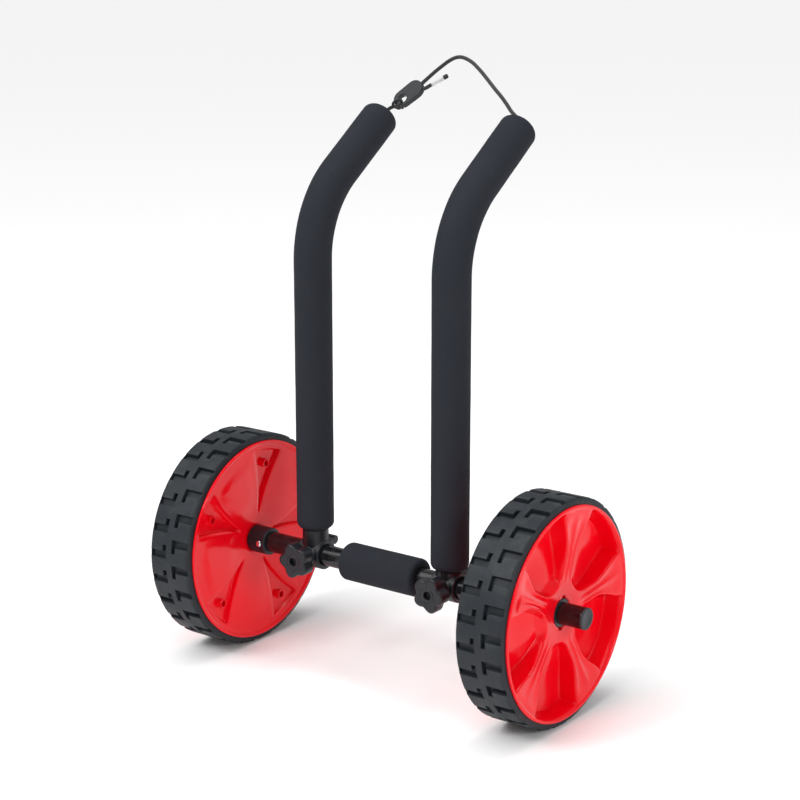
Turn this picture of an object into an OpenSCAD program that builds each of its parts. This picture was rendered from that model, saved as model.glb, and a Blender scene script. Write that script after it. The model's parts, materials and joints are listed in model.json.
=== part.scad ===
// Beach cart for carrying a board on its edge: two airless wheels on one axle,
// two padded arms that clamp to the axle, and a shock cord across their tops.
// +X runs along the axle to the right wheel, +Y to the side that the arms bend
// to, +Z up. The origin is on the ground, midway between the wheels.

/* [Wheels] */
// Diameter over the tread
tyre_d = 260; // [220:1:300]
// Distance between the middle planes of the two wheels
track = 440; // [425:1:540]
// Width of a wheel over its two rim lips
wheel_w = 66; // [56:1:78]
// Rubber thickness from its seat to the tread
tyre_t = 12; // [10:0.5:24]
// How far the tread stands out past the rim lips
tread_proud = 8; // [6:0.5:11]
// Depth of the pockets between the tread blocks
groove_deep = 4; // [2:0.5:5]
// Tread blocks in each of the two rows
block_count = 26; // [18:1:34]
// Thickness of a rim lip
lip_t = 3; // [2:0.5:4]
// Wall of the wheel mouldings
shell_t = 3; // [2:0.5:4]
// Wall of the wheel's hub
hub_wall = 7.5; // [6:0.5:12]
// How far the hub's ends lie inside the rim planes
dish = 9.5; // [6:0.5:12]
// Spokes of the outer moulding, and hollow wedges of the inner one
spoke_count = 5; // [4:1:6]
// Depth of the hollows between the spokes, at the rim
hollow_deep = 22; // [14:1:24]
// Depth of the wedges in the inner moulding
wedge_deep = 6; // [3:0.5:8]
// Radius of the circle of wheel screws
wheel_screw_ring = 93; // [80:1:98]
// How deep the wheel screws' heads lie in their bosses
head_deep = 12; // [4:1:16]
// Shank diameter of every screw
screw_d = 4; // [3:0.5:5]

/* [Axle] */
// Outside diameter of the axle tube
axle_d = 25; // [20:1:30]
// Wall of the axle tube
axle_wall = 2; // [1.5:0.5:3]
// How far the axle stands out past a wheel's outer rim plane
axle_over = 23; // [12:1:40]
// Wall of the sleeve that a wheel turns on
sleeve_wall = 2; // [1.5:0.5:3]
// Wall of the sleeve's collar
collar_wall = 4; // [3:0.5:8]
// Length of the sleeve's collar
collar_l = 26; // [20:1:34]
// Diameter of the release button
button_d = 8; // [6:0.5:10]
// Height of the button over the collar
button_proud = 1.6; // [1:0.2:3]
// How far the button goes in
button_travel = 4; // [3:0.5:5]
// Wall of the foam pad on the axle
pad_wall = 10; // [6:0.5:16]
// Length of the foam pad on the axle
pad_l = 106; // [60:1:112]

/* [Arms] */
// Distance of the left arm from the middle
left_arm_x = 102; // [96:1:130]
// Distance of the right arm from the middle
right_arm_x = 93; // [92:1:130]
// Outside diameter of the arm tubes
arm_d = 25; // [20:1:28]
// Wall of the arm tubes
arm_wall = 1.5; // [1:0.5:3]
// Height of the bend's start over the axle
arm_straight = 353; // [200:1:450]
// Radius of the bend at the tube's middle
bend_r = 119; // [60:1:160]
// Angle of the bend
bend_angle = 55; // [20:1:80]
// Length of the arm past the bend
arm_tail = 100; // [50:1:160]
// Wall of the foam sleeves
foam_wall = 9.5; // [6:0.5:14]
// Rounding of the foam's edges
foam_round = 8; // [3:0.5:9]
// Gap between the left clamp and the left foam
left_foam_gap = 13.5; // [1:0.5:30]
// Gap between the right clamp and the right foam
right_foam_gap = 1.5; // [1:0.5:30]
// How far the arm tube stops short of the foam's end
tube_short = 5; // [3:0.5:12]

/* [Clamps] */
// Wall of the clamp around the axle
clamp_wall = 3.5; // [3:0.5:6]
// Wall of the clamp's socket around the arm tube
socket_wall = 3; // [2:0.5:5]
// Length of the clamp along the axle
clamp_l = 32; // [28:1:44]
// Wall of the split liner between clamp and axle
liner_wall = 1.5; // [1:0.25:2]
// Height of the clamp's spigot inside the arm tube, over the axle
spigot_top = 62; // [45:1:90]
// Diameter of the star knob over its lobes
knob_d = 45; // [36:1:54]
// Thickness of the star knob
knob_t = 16; // [12:1:20]
// Diameter of the knob's stud
stud_d = 8; // [6:1:10]
// Diameter of the clamp's screw boss
boss_d = 11; // [9:0.5:13]

/* [Cord] */
// Diameter of the shock cord
cord_d = 4.5; // [4:0.5:6]
// Thickness of the hook
hook_t = 7; // [6:0.5:10]
// Radius of the hook's body at its cord end
hook_body_r = 11.5; // [10:0.5:13]
// Radius of the hook's nose
hook_nose_r = 11; // [9.5:0.5:13]

/* [Hidden] */
SIDES = [-1, 1];
AXLE_NODES = ["axle_tube", "axle_pad"];
CORD_NODES = ["bungee_cord", "cord_hook", "cord_tail", "tail_sleeve", "left_loop"];
SIDE_NODES = [
    "hub_sleeve", "end_plug", "button_spring", "release_button",
    "outer_wheel_shell", "inner_wheel_shell", "tyre", "wheel_screws",
    "liner", "clamp_outer_half", "clamp_inner_half", "clamp_screw", "clamp_nut",
    "pressure_pad", "knob", "knob_stud",
    "arm_tube", "arm_rivet", "arm_foam", "arm_plug", "anchor_knot"
];
function side_name(s) = s < 0 ? "left" : "right";

$fn = 64;
running_gap = 0.08;  // radial play of a turning or sliding fit
free_gap = 0.4;      // space between pieces that pass each other
cut = 1;             // how far a cutting shape runs past what it cuts
bend_swell = 0.08;   // how much thicker a bend is drawn, so that straight lengths end inside it
bend_overlap = 2;    // how far the straight lengths run into the bend

axle_z = tyre_d / 2;
tread_r = tyre_d / 2;
seat_r = tread_r - tyre_t;
lip_r = tread_r - tread_proud;
barrel_r = seat_r - shell_t;
half_w = wheel_w / 2;
hub_z = half_w - dish;
floor_z = half_w - hollow_deep - shell_t;
spoke_rim_z = half_w - lip_t / 2;
web_rim_z = half_w - lip_t;
wheel_step = 360 / spoke_count;
// Turn of each wheel, from the right wheel's view
wheel_turn = [10, 170];

axle_end = track / 2 + half_w + axle_over;
plug_flange = 2;
sleeve_r = axle_d / 2 + sleeve_wall;
hub_bore_r = sleeve_r + running_gap;
hub_r = hub_bore_r + hub_wall;
collar_r = axle_d / 2 + collar_wall;
pad_r = axle_d / 2 + pad_wall;
collar_face = track / 2 - hub_z - free_gap;
sleeve_end = track / 2 + hub_z - free_gap;
catch_r = sleeve_r + 1.6;
catch_t = 2;
button_x = collar_face - collar_l * 0.7;
button_top = collar_r + button_proud;
spring_t = 0.8;
spring_w = 8;
spring_reach = 24;
spring_foot = 30;

liner_r = axle_d / 2 + liner_wall;
clamp_bore_r = liner_r + running_gap;
clamp_lip = 2;
liner_l = clamp_l - 2 * clamp_lip - 2 * free_gap;
clamp_r = clamp_bore_r + clamp_wall;
tube_seat = clamp_r + 1;
arm_bore_d = arm_d - 2 * arm_wall;
rivet_z = tube_seat + 22;
rivet_d = 4.8;
pad_thick = 2.5;
pad_gap = 0.3;
pressure_r = 6;
pad_front = liner_r + pad_gap;
pad_back = pad_front + pad_thick;
knob_travel = 2.5;
nut_flat = stud_d * 1.625;
nut_t = stud_d * 0.6;
nut_back = pad_back + knob_travel + 0.6;
nut_front_wall = 1.5;
boss_front = nut_back + nut_t + nut_front_wall;
knob_back = boss_front + 2;
knob_front = knob_back + knob_t;
knob_boss_r = nut_flat / 2 / cos(30) + 3;
lobe_count = 5;
lobe_r = knob_d * 0.19;
screw_boss_y = clamp_r + boss_d * 0.25;
screw_boss_z = clamp_r * 0.75;
screw_boss_end = clamp_l / 2 + 3;

arm_x = [-left_arm_x, right_arm_x];
foam_d = arm_d + 2 * foam_wall;
foam_rise = [tube_seat + left_foam_gap, tube_seat + right_foam_gap];
arm_end_y = bend_r * (1 - cos(bend_angle)) + arm_tail * sin(bend_angle);
arm_end_z = axle_z + arm_straight + bend_r * sin(bend_angle) + arm_tail * cos(bend_angle);
plug_face = tube_short - 1.5;
plug_depth = 16;
knot_r = 5;

// The cord's routes are measured from the height and depth of the arm ends.
function from_ends(points) = [for (p = points) p + [0, arm_end_y, arm_end_z]];
// The cord lies in one plane that leans back from the arm ends.
cord_lean = 35;
hook_at = [-72, 33];
hook_turn = 49;
hook_body_u = 4;
hook_nose_u = -13.5;
hook_eye_r = 6;
hook_eye_shift = -1.2;
hook_mouth = -128;
hook_mouth_w = 4;
// Route of the shock cord from the right plug over to the hook
cord_route = from_ends([
    [93, -3, -2], [92.5, 0, 0.5], [90.5, 3, 4], [86, 5.5, 8], [80, 7.5, 11.5],
    [73, 10.5, 15.5], [67, 13.5, 20], [55, 19, 28.5], [42, 24.5, 36.5], [30.5, 30, 43.5],
    [18.5, 35.5, 51], [6.5, 40.5, 58], [-2, 43.5, 62.5], [-10, 46, 65.5], [-17, 47.2, 67.5],
    [-23.5, 47.7, 68.2], [-30, 46.8, 67], [-36.5, 44.5, 63.5], [-44, 39.7, 57], [-50.5, 35, 50.5],
    [-56, 31, 44.5], [-60, 28, 40]
]);
// Route of the spare end from the hook
tail_route = from_ends([
    [-58, 21.5, 31], [-54.5, 22.5, 32.5], [-49, 24.5, 36], [-43, 27, 40], [-37, 29.5, 43.5],
    [-31, 32, 47]
]);
// Route of the left loop's neck, from the left plug to its knot
neck_route = from_ends([
    [-102, -3, -2], [-100, 0, 2], [-95, 4, 7], [-89, 5.5, 10]
]);
knot_at = from_ends([[-83, 7, 11]])[0];
stub_end = from_ends([[-76, 6, 9.5]])[0];

function index(s) = s < 0 ? 0 : 1;

// Mirrors the left side's pieces.
module on_side(s) {
    if (s < 0) mirror([1, 0, 0]) children();
    else children();
}

// Puts a wheel piece, drawn with +Z outwards, on its side of the axle.
module at_wheel(s) {
    translate([s * track / 2, 0, axle_z])
        rotate([0, 90 * s, 0])
            rotate([0, 0, wheel_turn[index(s)]])
                children();
}

// Puts an arm or clamp piece, drawn around the axle's line, at its arm.
module at_arm(s) {
    translate([arm_x[index(s)], 0, axle_z]) on_side(s) children();
}

// Puts a piece at an arm's outer end, with +Z out of the tube.
module at_arm_end(s) {
    translate([arm_x[index(s)], arm_end_y, arm_end_z]) rotate([-bend_angle, 0, 0]) children();
}

// Turns a piece drawn along +Z to run along +X from x.
module along_x(x) {
    translate([x, 0, 0]) rotate([0, 90, 0]) children();
}

// Turns a piece drawn along +Z to run along -Y, from distance y in front.
module to_front(y) {
    translate([0, -y, 0]) rotate([90, 0, 0]) children();
}

// Turns a piece drawn along +Z to run from point a towards point b.
module between(a, b) {
    d = b - a;
    translate(a) rotate([0, acos(d[2] / norm(d)), atan2(d[1], d[0])]) children();
}

module tube(r_out, r_in, h) {
    difference() {
        cylinder(r = r_out, h = h);
        translate([0, 0, -cut]) cylinder(r = r_in, h = h + 2 * cut);
    }
}

// ---- swept cords ----

function unit(v) = v / norm(v);
function ahead(route, i) =
    let (last = len(route) - 1)
    unit(route[min(i + 1, last)] - route[max(i - 1, 0)]);
// A ring's two axes stay level and steep, so the sweep doesn't twist.
function ring(route, i, r, sides) =
    let (t = ahead(route, i), u = unit(cross(t, [0, 1, -1])), v = cross(t, u))
    [for (k = [0 : sides - 1]) route[i] + r * (cos(360 * k / sides) * u + sin(360 * k / sides) * v)];

module swept(route, d, sides = 10) {
    rings = len(route);
    points = [for (i = [0 : rings - 1]) each ring(route, i, d / 2, sides)];
    walls = [
        for (i = [0 : rings - 2], k = [0 : sides - 1])
            let (a = i * sides + k, b = i * sides + (k + 1) % sides)
            [a, a + sides, b + sides, b]
    ];
    start = [[for (k = [0 : sides - 1]) k]];
    end = [[for (k = [sides - 1 : -1 : 0]) (rings - 1) * sides + k]];
    polyhedron(points = points, faces = concat(walls, start, end), convexity = 6);
}

// ---- wheels, drawn with +Z outwards and the middle plane at z = 0 ----

// Height of the conical face between hub and rim, at radius r
function cone_z(r, rim_z) = hub_z + (rim_z - hub_z) * (r - hub_r) / (barrel_r - hub_r);
boss_top = cone_z(wheel_screw_ring, web_rim_z) + 0.8;
screw_head_z = boss_top - head_deep;

module spoke_plan(inset) {
    root_w = 8 - inset;
    waist_w = 9 - inset;
    rim_w = lip_r * 0.22 - inset;
    waist_r = barrel_r * 0.6;
    for (i = [0 : spoke_count - 1]) rotate(i * wheel_step)
        polygon([
            [hub_r - 4, -root_w], [waist_r, -waist_w], [barrel_r + cut, -rim_w],
            [barrel_r + cut, rim_w], [waist_r, waist_w], [hub_r - 4, root_w]
        ]);
}

// A sheet that follows the cone, from `low` to `high` above it
module cone_sheet(rim_z, low, high) {
    rotate_extrude($fn = 128) polygon([
        [hub_r - cut, hub_z + low], [barrel_r + cut, rim_z + low],
        [barrel_r + cut, rim_z + high], [hub_r - cut, hub_z + high]
    ]);
}

module rim_half() {
    rotate_extrude($fn = 128) polygon([
        [barrel_r, 0], [seat_r, 0], [seat_r, half_w - lip_t], [lip_r, half_w - lip_t],
        [lip_r, half_w - 1], [lip_r - 1, half_w], [barrel_r, half_w]
    ]);
}

module screw_ring(z) {
    for (i = [0 : spoke_count - 1]) rotate(i * wheel_step) translate([wheel_screw_ring, 0, z]) children();
}

module outer_wheel_shell(s) {
    notch_w = 7;
    color("red") at_wheel(s) difference() {
        union() {
            rim_half();
            tube(hub_r, hub_bore_r, hub_z);
            translate([0, 0, floor_z]) tube(barrel_r + shell_t / 2, hub_r - shell_t / 2, shell_t);
            intersection() {
                translate([0, 0, floor_z]) linear_extrude(half_w) difference() {
                    spoke_plan(0);
                    spoke_plan(shell_t);
                }
                cone_sheet(spoke_rim_z, floor_z - half_w, 0);
            }
            intersection() {
                linear_extrude(wheel_w) spoke_plan(0);
                cone_sheet(spoke_rim_z, -shell_t, 0);
            }
            screw_ring(0) cylinder(d = 2 * screw_d + 1, h = floor_z + shell_t);
        }
        screw_ring(-cut) cylinder(d = screw_d, h = floor_z + cut);
        translate([0, 0, hub_z - catch_t - 2 * free_gap])
            cylinder(r = catch_r + free_gap, h = half_w);
        translate([0, 0, hub_z]) cube([2 * catch_r + 5, notch_w, 12], center = true);
    }
}

module wedge_plan(inset) {
    for (i = [0 : spoke_count - 1]) rotate(i * wheel_step)
        polygon([
            [hub_r + 5 + 4 * inset, 0], [barrel_r - 5 - inset, -barrel_r * 0.2 + inset],
            [barrel_r - 5 - inset, barrel_r * 0.2 - inset]
        ]);
}

module inner_wheel_shell(s) {
    color("red") at_wheel(s) mirror([0, 0, 1]) difference() {
        union() {
            rim_half();
            tube(hub_r, hub_bore_r, hub_z);
            difference() {
                cone_sheet(web_rim_z, -shell_t, 0);
                linear_extrude(wheel_w) wedge_plan(shell_t);
            }
            intersection() {
                cone_sheet(web_rim_z, -shell_t - wedge_deep, -wedge_deep);
                linear_extrude(wheel_w) wedge_plan(0);
            }
            intersection() {
                cone_sheet(web_rim_z, -shell_t - wedge_deep, 0);
                linear_extrude(wheel_w) difference() {
                    wedge_plan(0);
                    wedge_plan(shell_t);
                }
            }
            screw_ring(0) cylinder(d = 2 * screw_d + 3, h = boss_top);
        }
        screw_ring(-cut) cylinder(d = screw_d, h = half_w);
        screw_ring(screw_head_z) cylinder(d = 2 * screw_d, h = half_w);
        cylinder(r = hub_bore_r, h = wheel_w, center = true);
    }
}

module wheel_screws(s) {
    color("silver") at_wheel(s) mirror([0, 0, 1]) screw_ring(0) {
        translate([0, 0, -floor_z]) cylinder(d = screw_d, h = floor_z + screw_head_z);
        translate([0, 0, screw_head_z]) cylinder(d = 2 * screw_d, h = screw_d * 0.55);
    }
}

module tyre(s) {
    pitch = 360 / block_count;
    groove_w = 2 * PI * tread_r / block_count * 0.28;
    side_w = half_w - lip_t;
    rib = 4;
    groove_l = side_w - rib - 7;
    color("#3a3f45") at_wheel(s) difference() {
        rotate_extrude($fn = 128) polygon([
            [seat_r, -side_w], [lip_r + 1, -side_w], [tread_r, -side_w + 5],
            [tread_r, side_w - 5], [lip_r + 1, side_w], [seat_r, side_w]
        ]);
        for (row = SIDES, i = [0 : block_count - 1])
            rotate((i + row / 4) * pitch)
                translate([tread_r + cut / 2, 0, row * (rib + groove_l / 2)])
                    cube([2 * groove_deep, groove_w, groove_l], center = true);
    }
}

// ---- axle ----

module axle_tube() {
    color("#26272b") difference() {
        translate([0, 0, axle_z]) along_x(-axle_end + plug_flange)
            tube(axle_d / 2, axle_d / 2 - axle_wall, 2 * (axle_end - plug_flange));
        for (s = SIDES)
            translate([s * button_x, 0, axle_z])
                to_front(0) cylinder(d = button_d + 2 * free_gap, h = axle_d);
    }
}

module axle_pad() {
    edge = 5;
    color("#34363d") translate([0, 0, axle_z]) along_x(-pad_l / 2) difference() {
        rotate_extrude() {
            square([pad_r - edge, pad_l]);
            translate([0, edge]) square([pad_r, pad_l - 2 * edge]);
            for (z = [edge, pad_l - edge]) translate([pad_r - edge, z]) intersection() {
                circle(r = edge, $fn = 32);
                translate([0, -edge]) square([edge, 2 * edge]);
            }
        }
        translate([0, 0, -cut]) cylinder(d = axle_d, h = pad_l + 2 * cut);
    }
}

module hub_sleeve(s) {
    color("#1d1e21") translate([0, 0, axle_z]) on_side(s) difference() {
        union() {
            along_x(collar_face - collar_l) tube(collar_r, axle_d / 2, collar_l);
            along_x(collar_face - cut) tube(sleeve_r, axle_d / 2, sleeve_end - collar_face + cut);
            along_x(sleeve_end - catch_t) tube(catch_r, axle_d / 2, catch_t);
        }
        translate([button_x, 0, 0]) to_front(0) cylinder(d = button_d + 2 * free_gap, h = 2 * collar_r);
    }
}

module end_plug(s) {
    color("#3c4046") translate([0, 0, axle_z]) on_side(s) {
        along_x(axle_end - plug_flange) rotate_extrude() polygon([
            [0, 0], [axle_d / 2, 0], [axle_d / 2 - 1, plug_flange], [0, plug_flange]
        ]);
        along_x(axle_end - plug_flange - 18) cylinder(d = axle_d - 2 * axle_wall, h = 18);
    }
}

// Puts a piece, drawn around the axle's line, at the release button
module at_button(s) {
    translate([0, 0, axle_z]) on_side(s) translate([button_x, 0, 0]) children();
}

// The button and the leaf that springs it out
module release_button(s) {
    dome = 2;
    leaf_y = axle_d / 2 - axle_wall - free_gap - spring_t;
    color("silver") at_button(s) {
        to_front(leaf_y) cylinder(d = button_d, h = button_top - dome - leaf_y);
        to_front(button_top - dome) rotate_extrude() polygon([
            [0, 0], [button_d / 2, 0], [button_d / 2 * 0.92, dome * 0.5],
            [button_d / 2 * 0.62, dome * 0.88], [0, dome]
        ]);
        translate([-spring_w / 2 - spring_reach, -leaf_y, -spring_w / 2])
            cube([spring_w + spring_reach, spring_t, spring_w]);
    }
}

// The leaf's other leg, which lies against the tube's far wall and turns up
module button_spring(s) {
    seat = axle_d / 2 - axle_wall;
    near_y = seat - 2 * spring_t - button_travel - 2 * free_gap;
    color("silver") at_button(s) translate([-spring_w / 2 - spring_foot, 0, 0]) {
        intersection() {
            along_x(0) tube(seat, seat - spring_t, spring_w + spring_foot);
            translate([0, 0, -spring_w / 2]) cube([spring_w + spring_foot, seat, spring_w]);
        }
        translate([0, -near_y, -spring_w / 2]) cube([spring_t, near_y + seat - spring_t, spring_w]);
    }
}

// ---- clamps, drawn around the axle's line with +X towards the wheel ----

module clamp_solid(s) {
    socket_r = arm_d / 2 + socket_wall;
    difference() {
        union() {
            along_x(-clamp_l / 2) cylinder(r = clamp_r, h = clamp_l);
            to_front(0) cylinder(r = knob_boss_r, h = boss_front);
            cylinder(r = socket_r, h = tube_seat);
            tube(socket_r, arm_d / 2 + running_gap, foam_rise[index(s)] - free_gap);
            cylinder(d = arm_bore_d, h = spigot_top);
            translate([0, screw_boss_y, screw_boss_z])
                along_x(-clamp_l / 2 + 2) cylinder(d = boss_d, h = clamp_l / 2 - 2 + screw_boss_end);
            translate([-clamp_l / 2 + 2, 0, screw_boss_z - boss_d / 3])
                cube([clamp_l - 2, screw_boss_y, boss_d / 1.5]);
        }
        along_x(-liner_l / 2 - free_gap) cylinder(r = clamp_bore_r, h = liner_l + 2 * free_gap);
        along_x(-clamp_l) cylinder(r = axle_d / 2 + free_gap, h = 2 * clamp_l);
        to_front(0) cylinder(d = stud_d + 2 * free_gap, h = boss_front + cut);
        to_front(0) cylinder(r = pressure_r + free_gap, h = nut_back);
        to_front(nut_back) cylinder(r = nut_flat / 2 / cos(30), h = nut_t, $fn = 6);
        translate([0, screw_boss_y, screw_boss_z]) {
            along_x(-clamp_l / 2 + 6) cylinder(d = screw_d, h = 2 * clamp_l);
            along_x(screw_boss_end - 3) cylinder(d = 2 * screw_d, h = clamp_l);
        }
        rivet_hole();
    }
}

module rivet_hole() {
    translate([0, arm_d / 2 - 8, rivet_z]) rotate([-90, 0, 0]) cylinder(d = rivet_d, h = 8 + cut);
}

// The half of a piece on one side of the arm's middle plane
module half_of(side) {
    reach = 2 * (spigot_top + clamp_l);
    intersection() {
        children();
        translate([side * reach / 2, 0, 0]) cube(reach, center = true);
    }
}

module clamp_outer_half(s) {
    color("#232428") at_arm(s) half_of(1) clamp_solid(s);
}

module clamp_inner_half(s) {
    color("#232428") at_arm(s) half_of(-1) clamp_solid(s);
}

module clamp_screw(s) {
    color("silver") at_arm(s) translate([0, screw_boss_y, screw_boss_z]) {
        along_x(-clamp_l / 2 + 6) cylinder(d = screw_d, h = clamp_l / 2 - 6 + screw_boss_end - 3);
        along_x(screw_boss_end - 3) cylinder(d = 2 * screw_d, h = 2);
    }
}

module clamp_nut(s) {
    color("silver") at_arm(s) to_front(nut_back) difference() {
        cylinder(r = nut_flat / 2 / cos(30), h = nut_t, $fn = 6);
        translate([0, 0, -cut]) cylinder(r = stud_d / 2 + running_gap, h = nut_t + 2 * cut);
    }
}

// A split ring, so that the pressure pad can squeeze it onto the axle
module liner(s) {
    slit = 1.5;
    color("#4a4c52") at_arm(s) difference() {
        along_x(-liner_l / 2) cylinder(r = liner_r, h = liner_l);
        along_x(-clamp_l) cylinder(r = axle_d / 2 + running_gap, h = 2 * clamp_l);
        translate([-clamp_l, 0, -2 * liner_r]) cube([2 * clamp_l, slit, 2 * liner_r]);
    }
}

module pressure_pad(s) {
    color("#b58a45") at_arm(s) to_front(pad_front) cylinder(r = pressure_r, h = pad_thick);
}

module knob_stud(s) {
    color("silver") at_arm(s) to_front(pad_back + pad_gap)
        cylinder(d = stud_d, h = knob_front - 7 - pad_back - pad_gap);
}

module knob(s) {
    recess = 6;
    color("#26272b") at_arm(s) to_front(knob_back) difference() {
        union() {
            cylinder(d = knob_d * 0.72, h = knob_t);
            for (i = [0 : lobe_count - 1]) rotate(360 / lobe_count * i - 3)
                translate([knob_d / 2 - lobe_r, 0, 0]) cylinder(r = lobe_r, h = knob_t - 1);
        }
        translate([0, 0, knob_t - recess]) cylinder(d = 10, h = recess + cut);
        translate([0, 0, -cut]) cylinder(d = stud_d, h = knob_t + 2 * cut);
    }
}

// ---- arms ----

// A round bar along the arm's middle line, from height `low` over the axle to
// `short` before the arm's end
module arm_bar(d, low, short) {
    translate([0, 0, low]) cylinder(d = d, h = arm_straight + bend_overlap - low);
    translate([0, bend_r, arm_straight]) rotate([0, -90, 0]) rotate([0, 0, -90])
        rotate_extrude(angle = bend_angle) translate([bend_r, 0]) circle(d = d + 2 * bend_swell);
    translate([0, arm_end_y, arm_end_z - axle_z]) rotate([-bend_angle, 0, 0])
        translate([0, 0, -arm_tail - bend_overlap]) cylinder(d = d, h = arm_tail + bend_overlap - short);
}

module arm_tube(s) {
    color("#26272b") at_arm(s) difference() {
        arm_bar(arm_d, tube_seat, tube_short);
        arm_bar(arm_bore_d, tube_seat - cut, tube_short - cut);
        rivet_hole();
    }
}

module arm_rivet(s) {
    color("silver") at_arm(s) translate([0, arm_d / 2 - 8, rivet_z]) rotate([-90, 0, 0])
        cylinder(d = rivet_d, h = 8 - 0.3);
}

// The rounded end of a foam sleeve, from z = 0 down into the foam
module foam_end() {
    rotate_extrude() {
        translate([0, -foam_round]) square([foam_d / 2 - foam_round, foam_round]);
        translate([foam_d / 2 - foam_round, -foam_round]) intersection() {
            circle(r = foam_round, $fn = 48);
            square(foam_round);
        }
    }
}

module arm_foam(s) {
    rise = foam_rise[index(s)];
    color("#34363d") at_arm(s) difference() {
        union() {
            arm_bar(foam_d, rise + foam_round, foam_round);
            translate([0, 0, rise]) mirror([0, 0, 1]) foam_end();
            translate([0, arm_end_y, arm_end_z - axle_z]) rotate([-bend_angle, 0, 0]) foam_end();
        }
        arm_bar(arm_d, rise - cut, -cut);
    }
}

module arm_plug(s) {
    color("#1d1e21") at_arm_end(s) difference() {
        union() {
            translate([0, 0, -tube_short - plug_depth]) cylinder(d = arm_bore_d, h = plug_depth);
            translate([0, 0, -tube_short]) cylinder(d = arm_d, h = tube_short - plug_face);
        }
        translate([0, 0, -50]) cylinder(d = cord_d, h = 60);
    }
}

// The cord's hidden end: a knot behind the plug, and the run through it
module anchor_knot(s) {
    color("#202124") at_arm_end(s) {
        translate([0, 0, -tube_short - plug_depth - knot_r]) sphere(r = knot_r);
        translate([0, 0, -tube_short - plug_depth - knot_r])
            cylinder(d = cord_d, h = tube_short + plug_depth + knot_r - plug_face);
    }
}

// ---- cord ----

module bungee_cord() {
    color("#2a2b2f") swept(cord_route, cord_d);
}

module cord_tail() {
    color("#2a2b2f") swept(tail_route, cord_d);
}

module tail_sleeve() {
    tip = 3;
    a = tail_route[3];
    b = tail_route[5];
    color("white") between(a, b) tube(cord_d / 2 + 0.9, cord_d / 2 + 0.1, norm(b - a) - tip);
}

// The hook, drawn flat with +X towards its cord end
module hook_plan() {
    difference() {
        hull() {
            translate([hook_body_u, 0]) circle(r = hook_body_r, $fn = 32);
            translate([hook_nose_u, 0]) circle(r = hook_nose_r, $fn = 32);
        }
        translate([hook_nose_u, hook_eye_shift]) {
            circle(r = hook_eye_r, $fn = 32);
            rotate(hook_mouth) translate([0, -hook_mouth_w / 2]) square([2 * hook_nose_r, hook_mouth_w]);
        }
    }
}

module cord_hook() {
    color("#1d1e21") translate([0, arm_end_y, arm_end_z]) rotate([-cord_lean, 0, 0])
        translate([hook_at[0], 0, hook_at[1]]) rotate([90, 0, 0])
            rotate(hook_turn) linear_extrude(hook_t, center = true) hook_plan();
}

module left_loop() {
    loop_r = 5.6;
    loop_cord_r = 1.7;
    nose = [cos(hook_turn), sin(hook_turn)] * (hook_nose_u - (hook_nose_r + hook_eye_r) / 2);
    color("#202124") {
        swept(neck_route, cord_d);
        translate(knot_at) sphere(r = knot_r - 0.5);
        between(knot_at, stub_end) cylinder(d = cord_d - 0.5, h = norm(stub_end - knot_at));
        translate([0, arm_end_y, arm_end_z]) rotate([-cord_lean, 0, 0])
            translate([hook_at[0] + nose[0], 0, hook_at[1] + nose[1]])
                rotate([0, -hook_turn, 0]) rotate_extrude() translate([loop_r, 0]) circle(r = loop_cord_r);
    }
}

// ---- what each node draws ----

axle_tube();
axle_pad();
bungee_cord();
cord_hook();
cord_tail();
tail_sleeve();
left_loop();
for (s = SIDES) {
    side = side_name(s);
    hub_sleeve(s);
    end_plug(s);
    button_spring(s);
    release_button(s);
    outer_wheel_shell(s);
    inner_wheel_shell(s);
    tyre(s);
    wheel_screws(s);
    liner(s);
    clamp_outer_half(s);
    clamp_inner_half(s);
    clamp_screw(s);
    clamp_nut(s);
    pressure_pad(s);
    knob(s);
    knob_stud(s);
    arm_tube(s);
    arm_rivet(s);
    arm_foam(s);
    arm_plug(s);
    anchor_knot(s);
}
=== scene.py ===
"""Beach cart: two red airless wheels on a padded axle, two foam-covered arms clamped to it, and a
hooked shock cord across their tops. Each operator makes one piece or group of like pieces around
the engineering model of the cart, which is loaded first and is never moved."""

import json
import math

import bmesh
import bpy
import numpy as np
from mathutils import Matrix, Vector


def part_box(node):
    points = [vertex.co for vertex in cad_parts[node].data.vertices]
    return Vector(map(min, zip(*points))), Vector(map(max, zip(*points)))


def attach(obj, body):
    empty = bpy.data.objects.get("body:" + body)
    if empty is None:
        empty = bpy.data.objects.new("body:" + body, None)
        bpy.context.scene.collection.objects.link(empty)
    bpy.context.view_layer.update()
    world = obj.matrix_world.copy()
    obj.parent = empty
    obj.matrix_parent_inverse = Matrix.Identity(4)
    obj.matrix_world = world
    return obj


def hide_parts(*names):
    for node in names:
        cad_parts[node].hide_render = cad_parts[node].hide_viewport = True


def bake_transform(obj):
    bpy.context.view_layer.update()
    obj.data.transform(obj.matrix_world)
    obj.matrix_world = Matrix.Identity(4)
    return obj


bl_info = {
    "name": "Beach Cart",
    "version": (1, 0, 0),
    "blender": (4, 5, 0),
    "location": "View3D > Sidebar > Beach Cart",
    "description": "Makes a two-wheeled beach cart with padded arms",
    "category": "Add Mesh",
}

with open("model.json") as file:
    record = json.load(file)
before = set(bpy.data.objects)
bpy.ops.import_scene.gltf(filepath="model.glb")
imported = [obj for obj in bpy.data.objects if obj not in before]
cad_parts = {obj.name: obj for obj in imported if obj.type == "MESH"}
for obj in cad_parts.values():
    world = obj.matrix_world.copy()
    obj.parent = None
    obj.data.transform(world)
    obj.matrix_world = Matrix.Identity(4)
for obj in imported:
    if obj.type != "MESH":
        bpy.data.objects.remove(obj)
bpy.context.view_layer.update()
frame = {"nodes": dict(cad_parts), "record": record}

MM = 0.001
SIDES = ("left", "right")
X, Y, Z = np.eye(3)


def middle(node):
    """Middle of a node's box."""
    low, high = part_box(node)
    return np.array((low + high) / 2)


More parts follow.
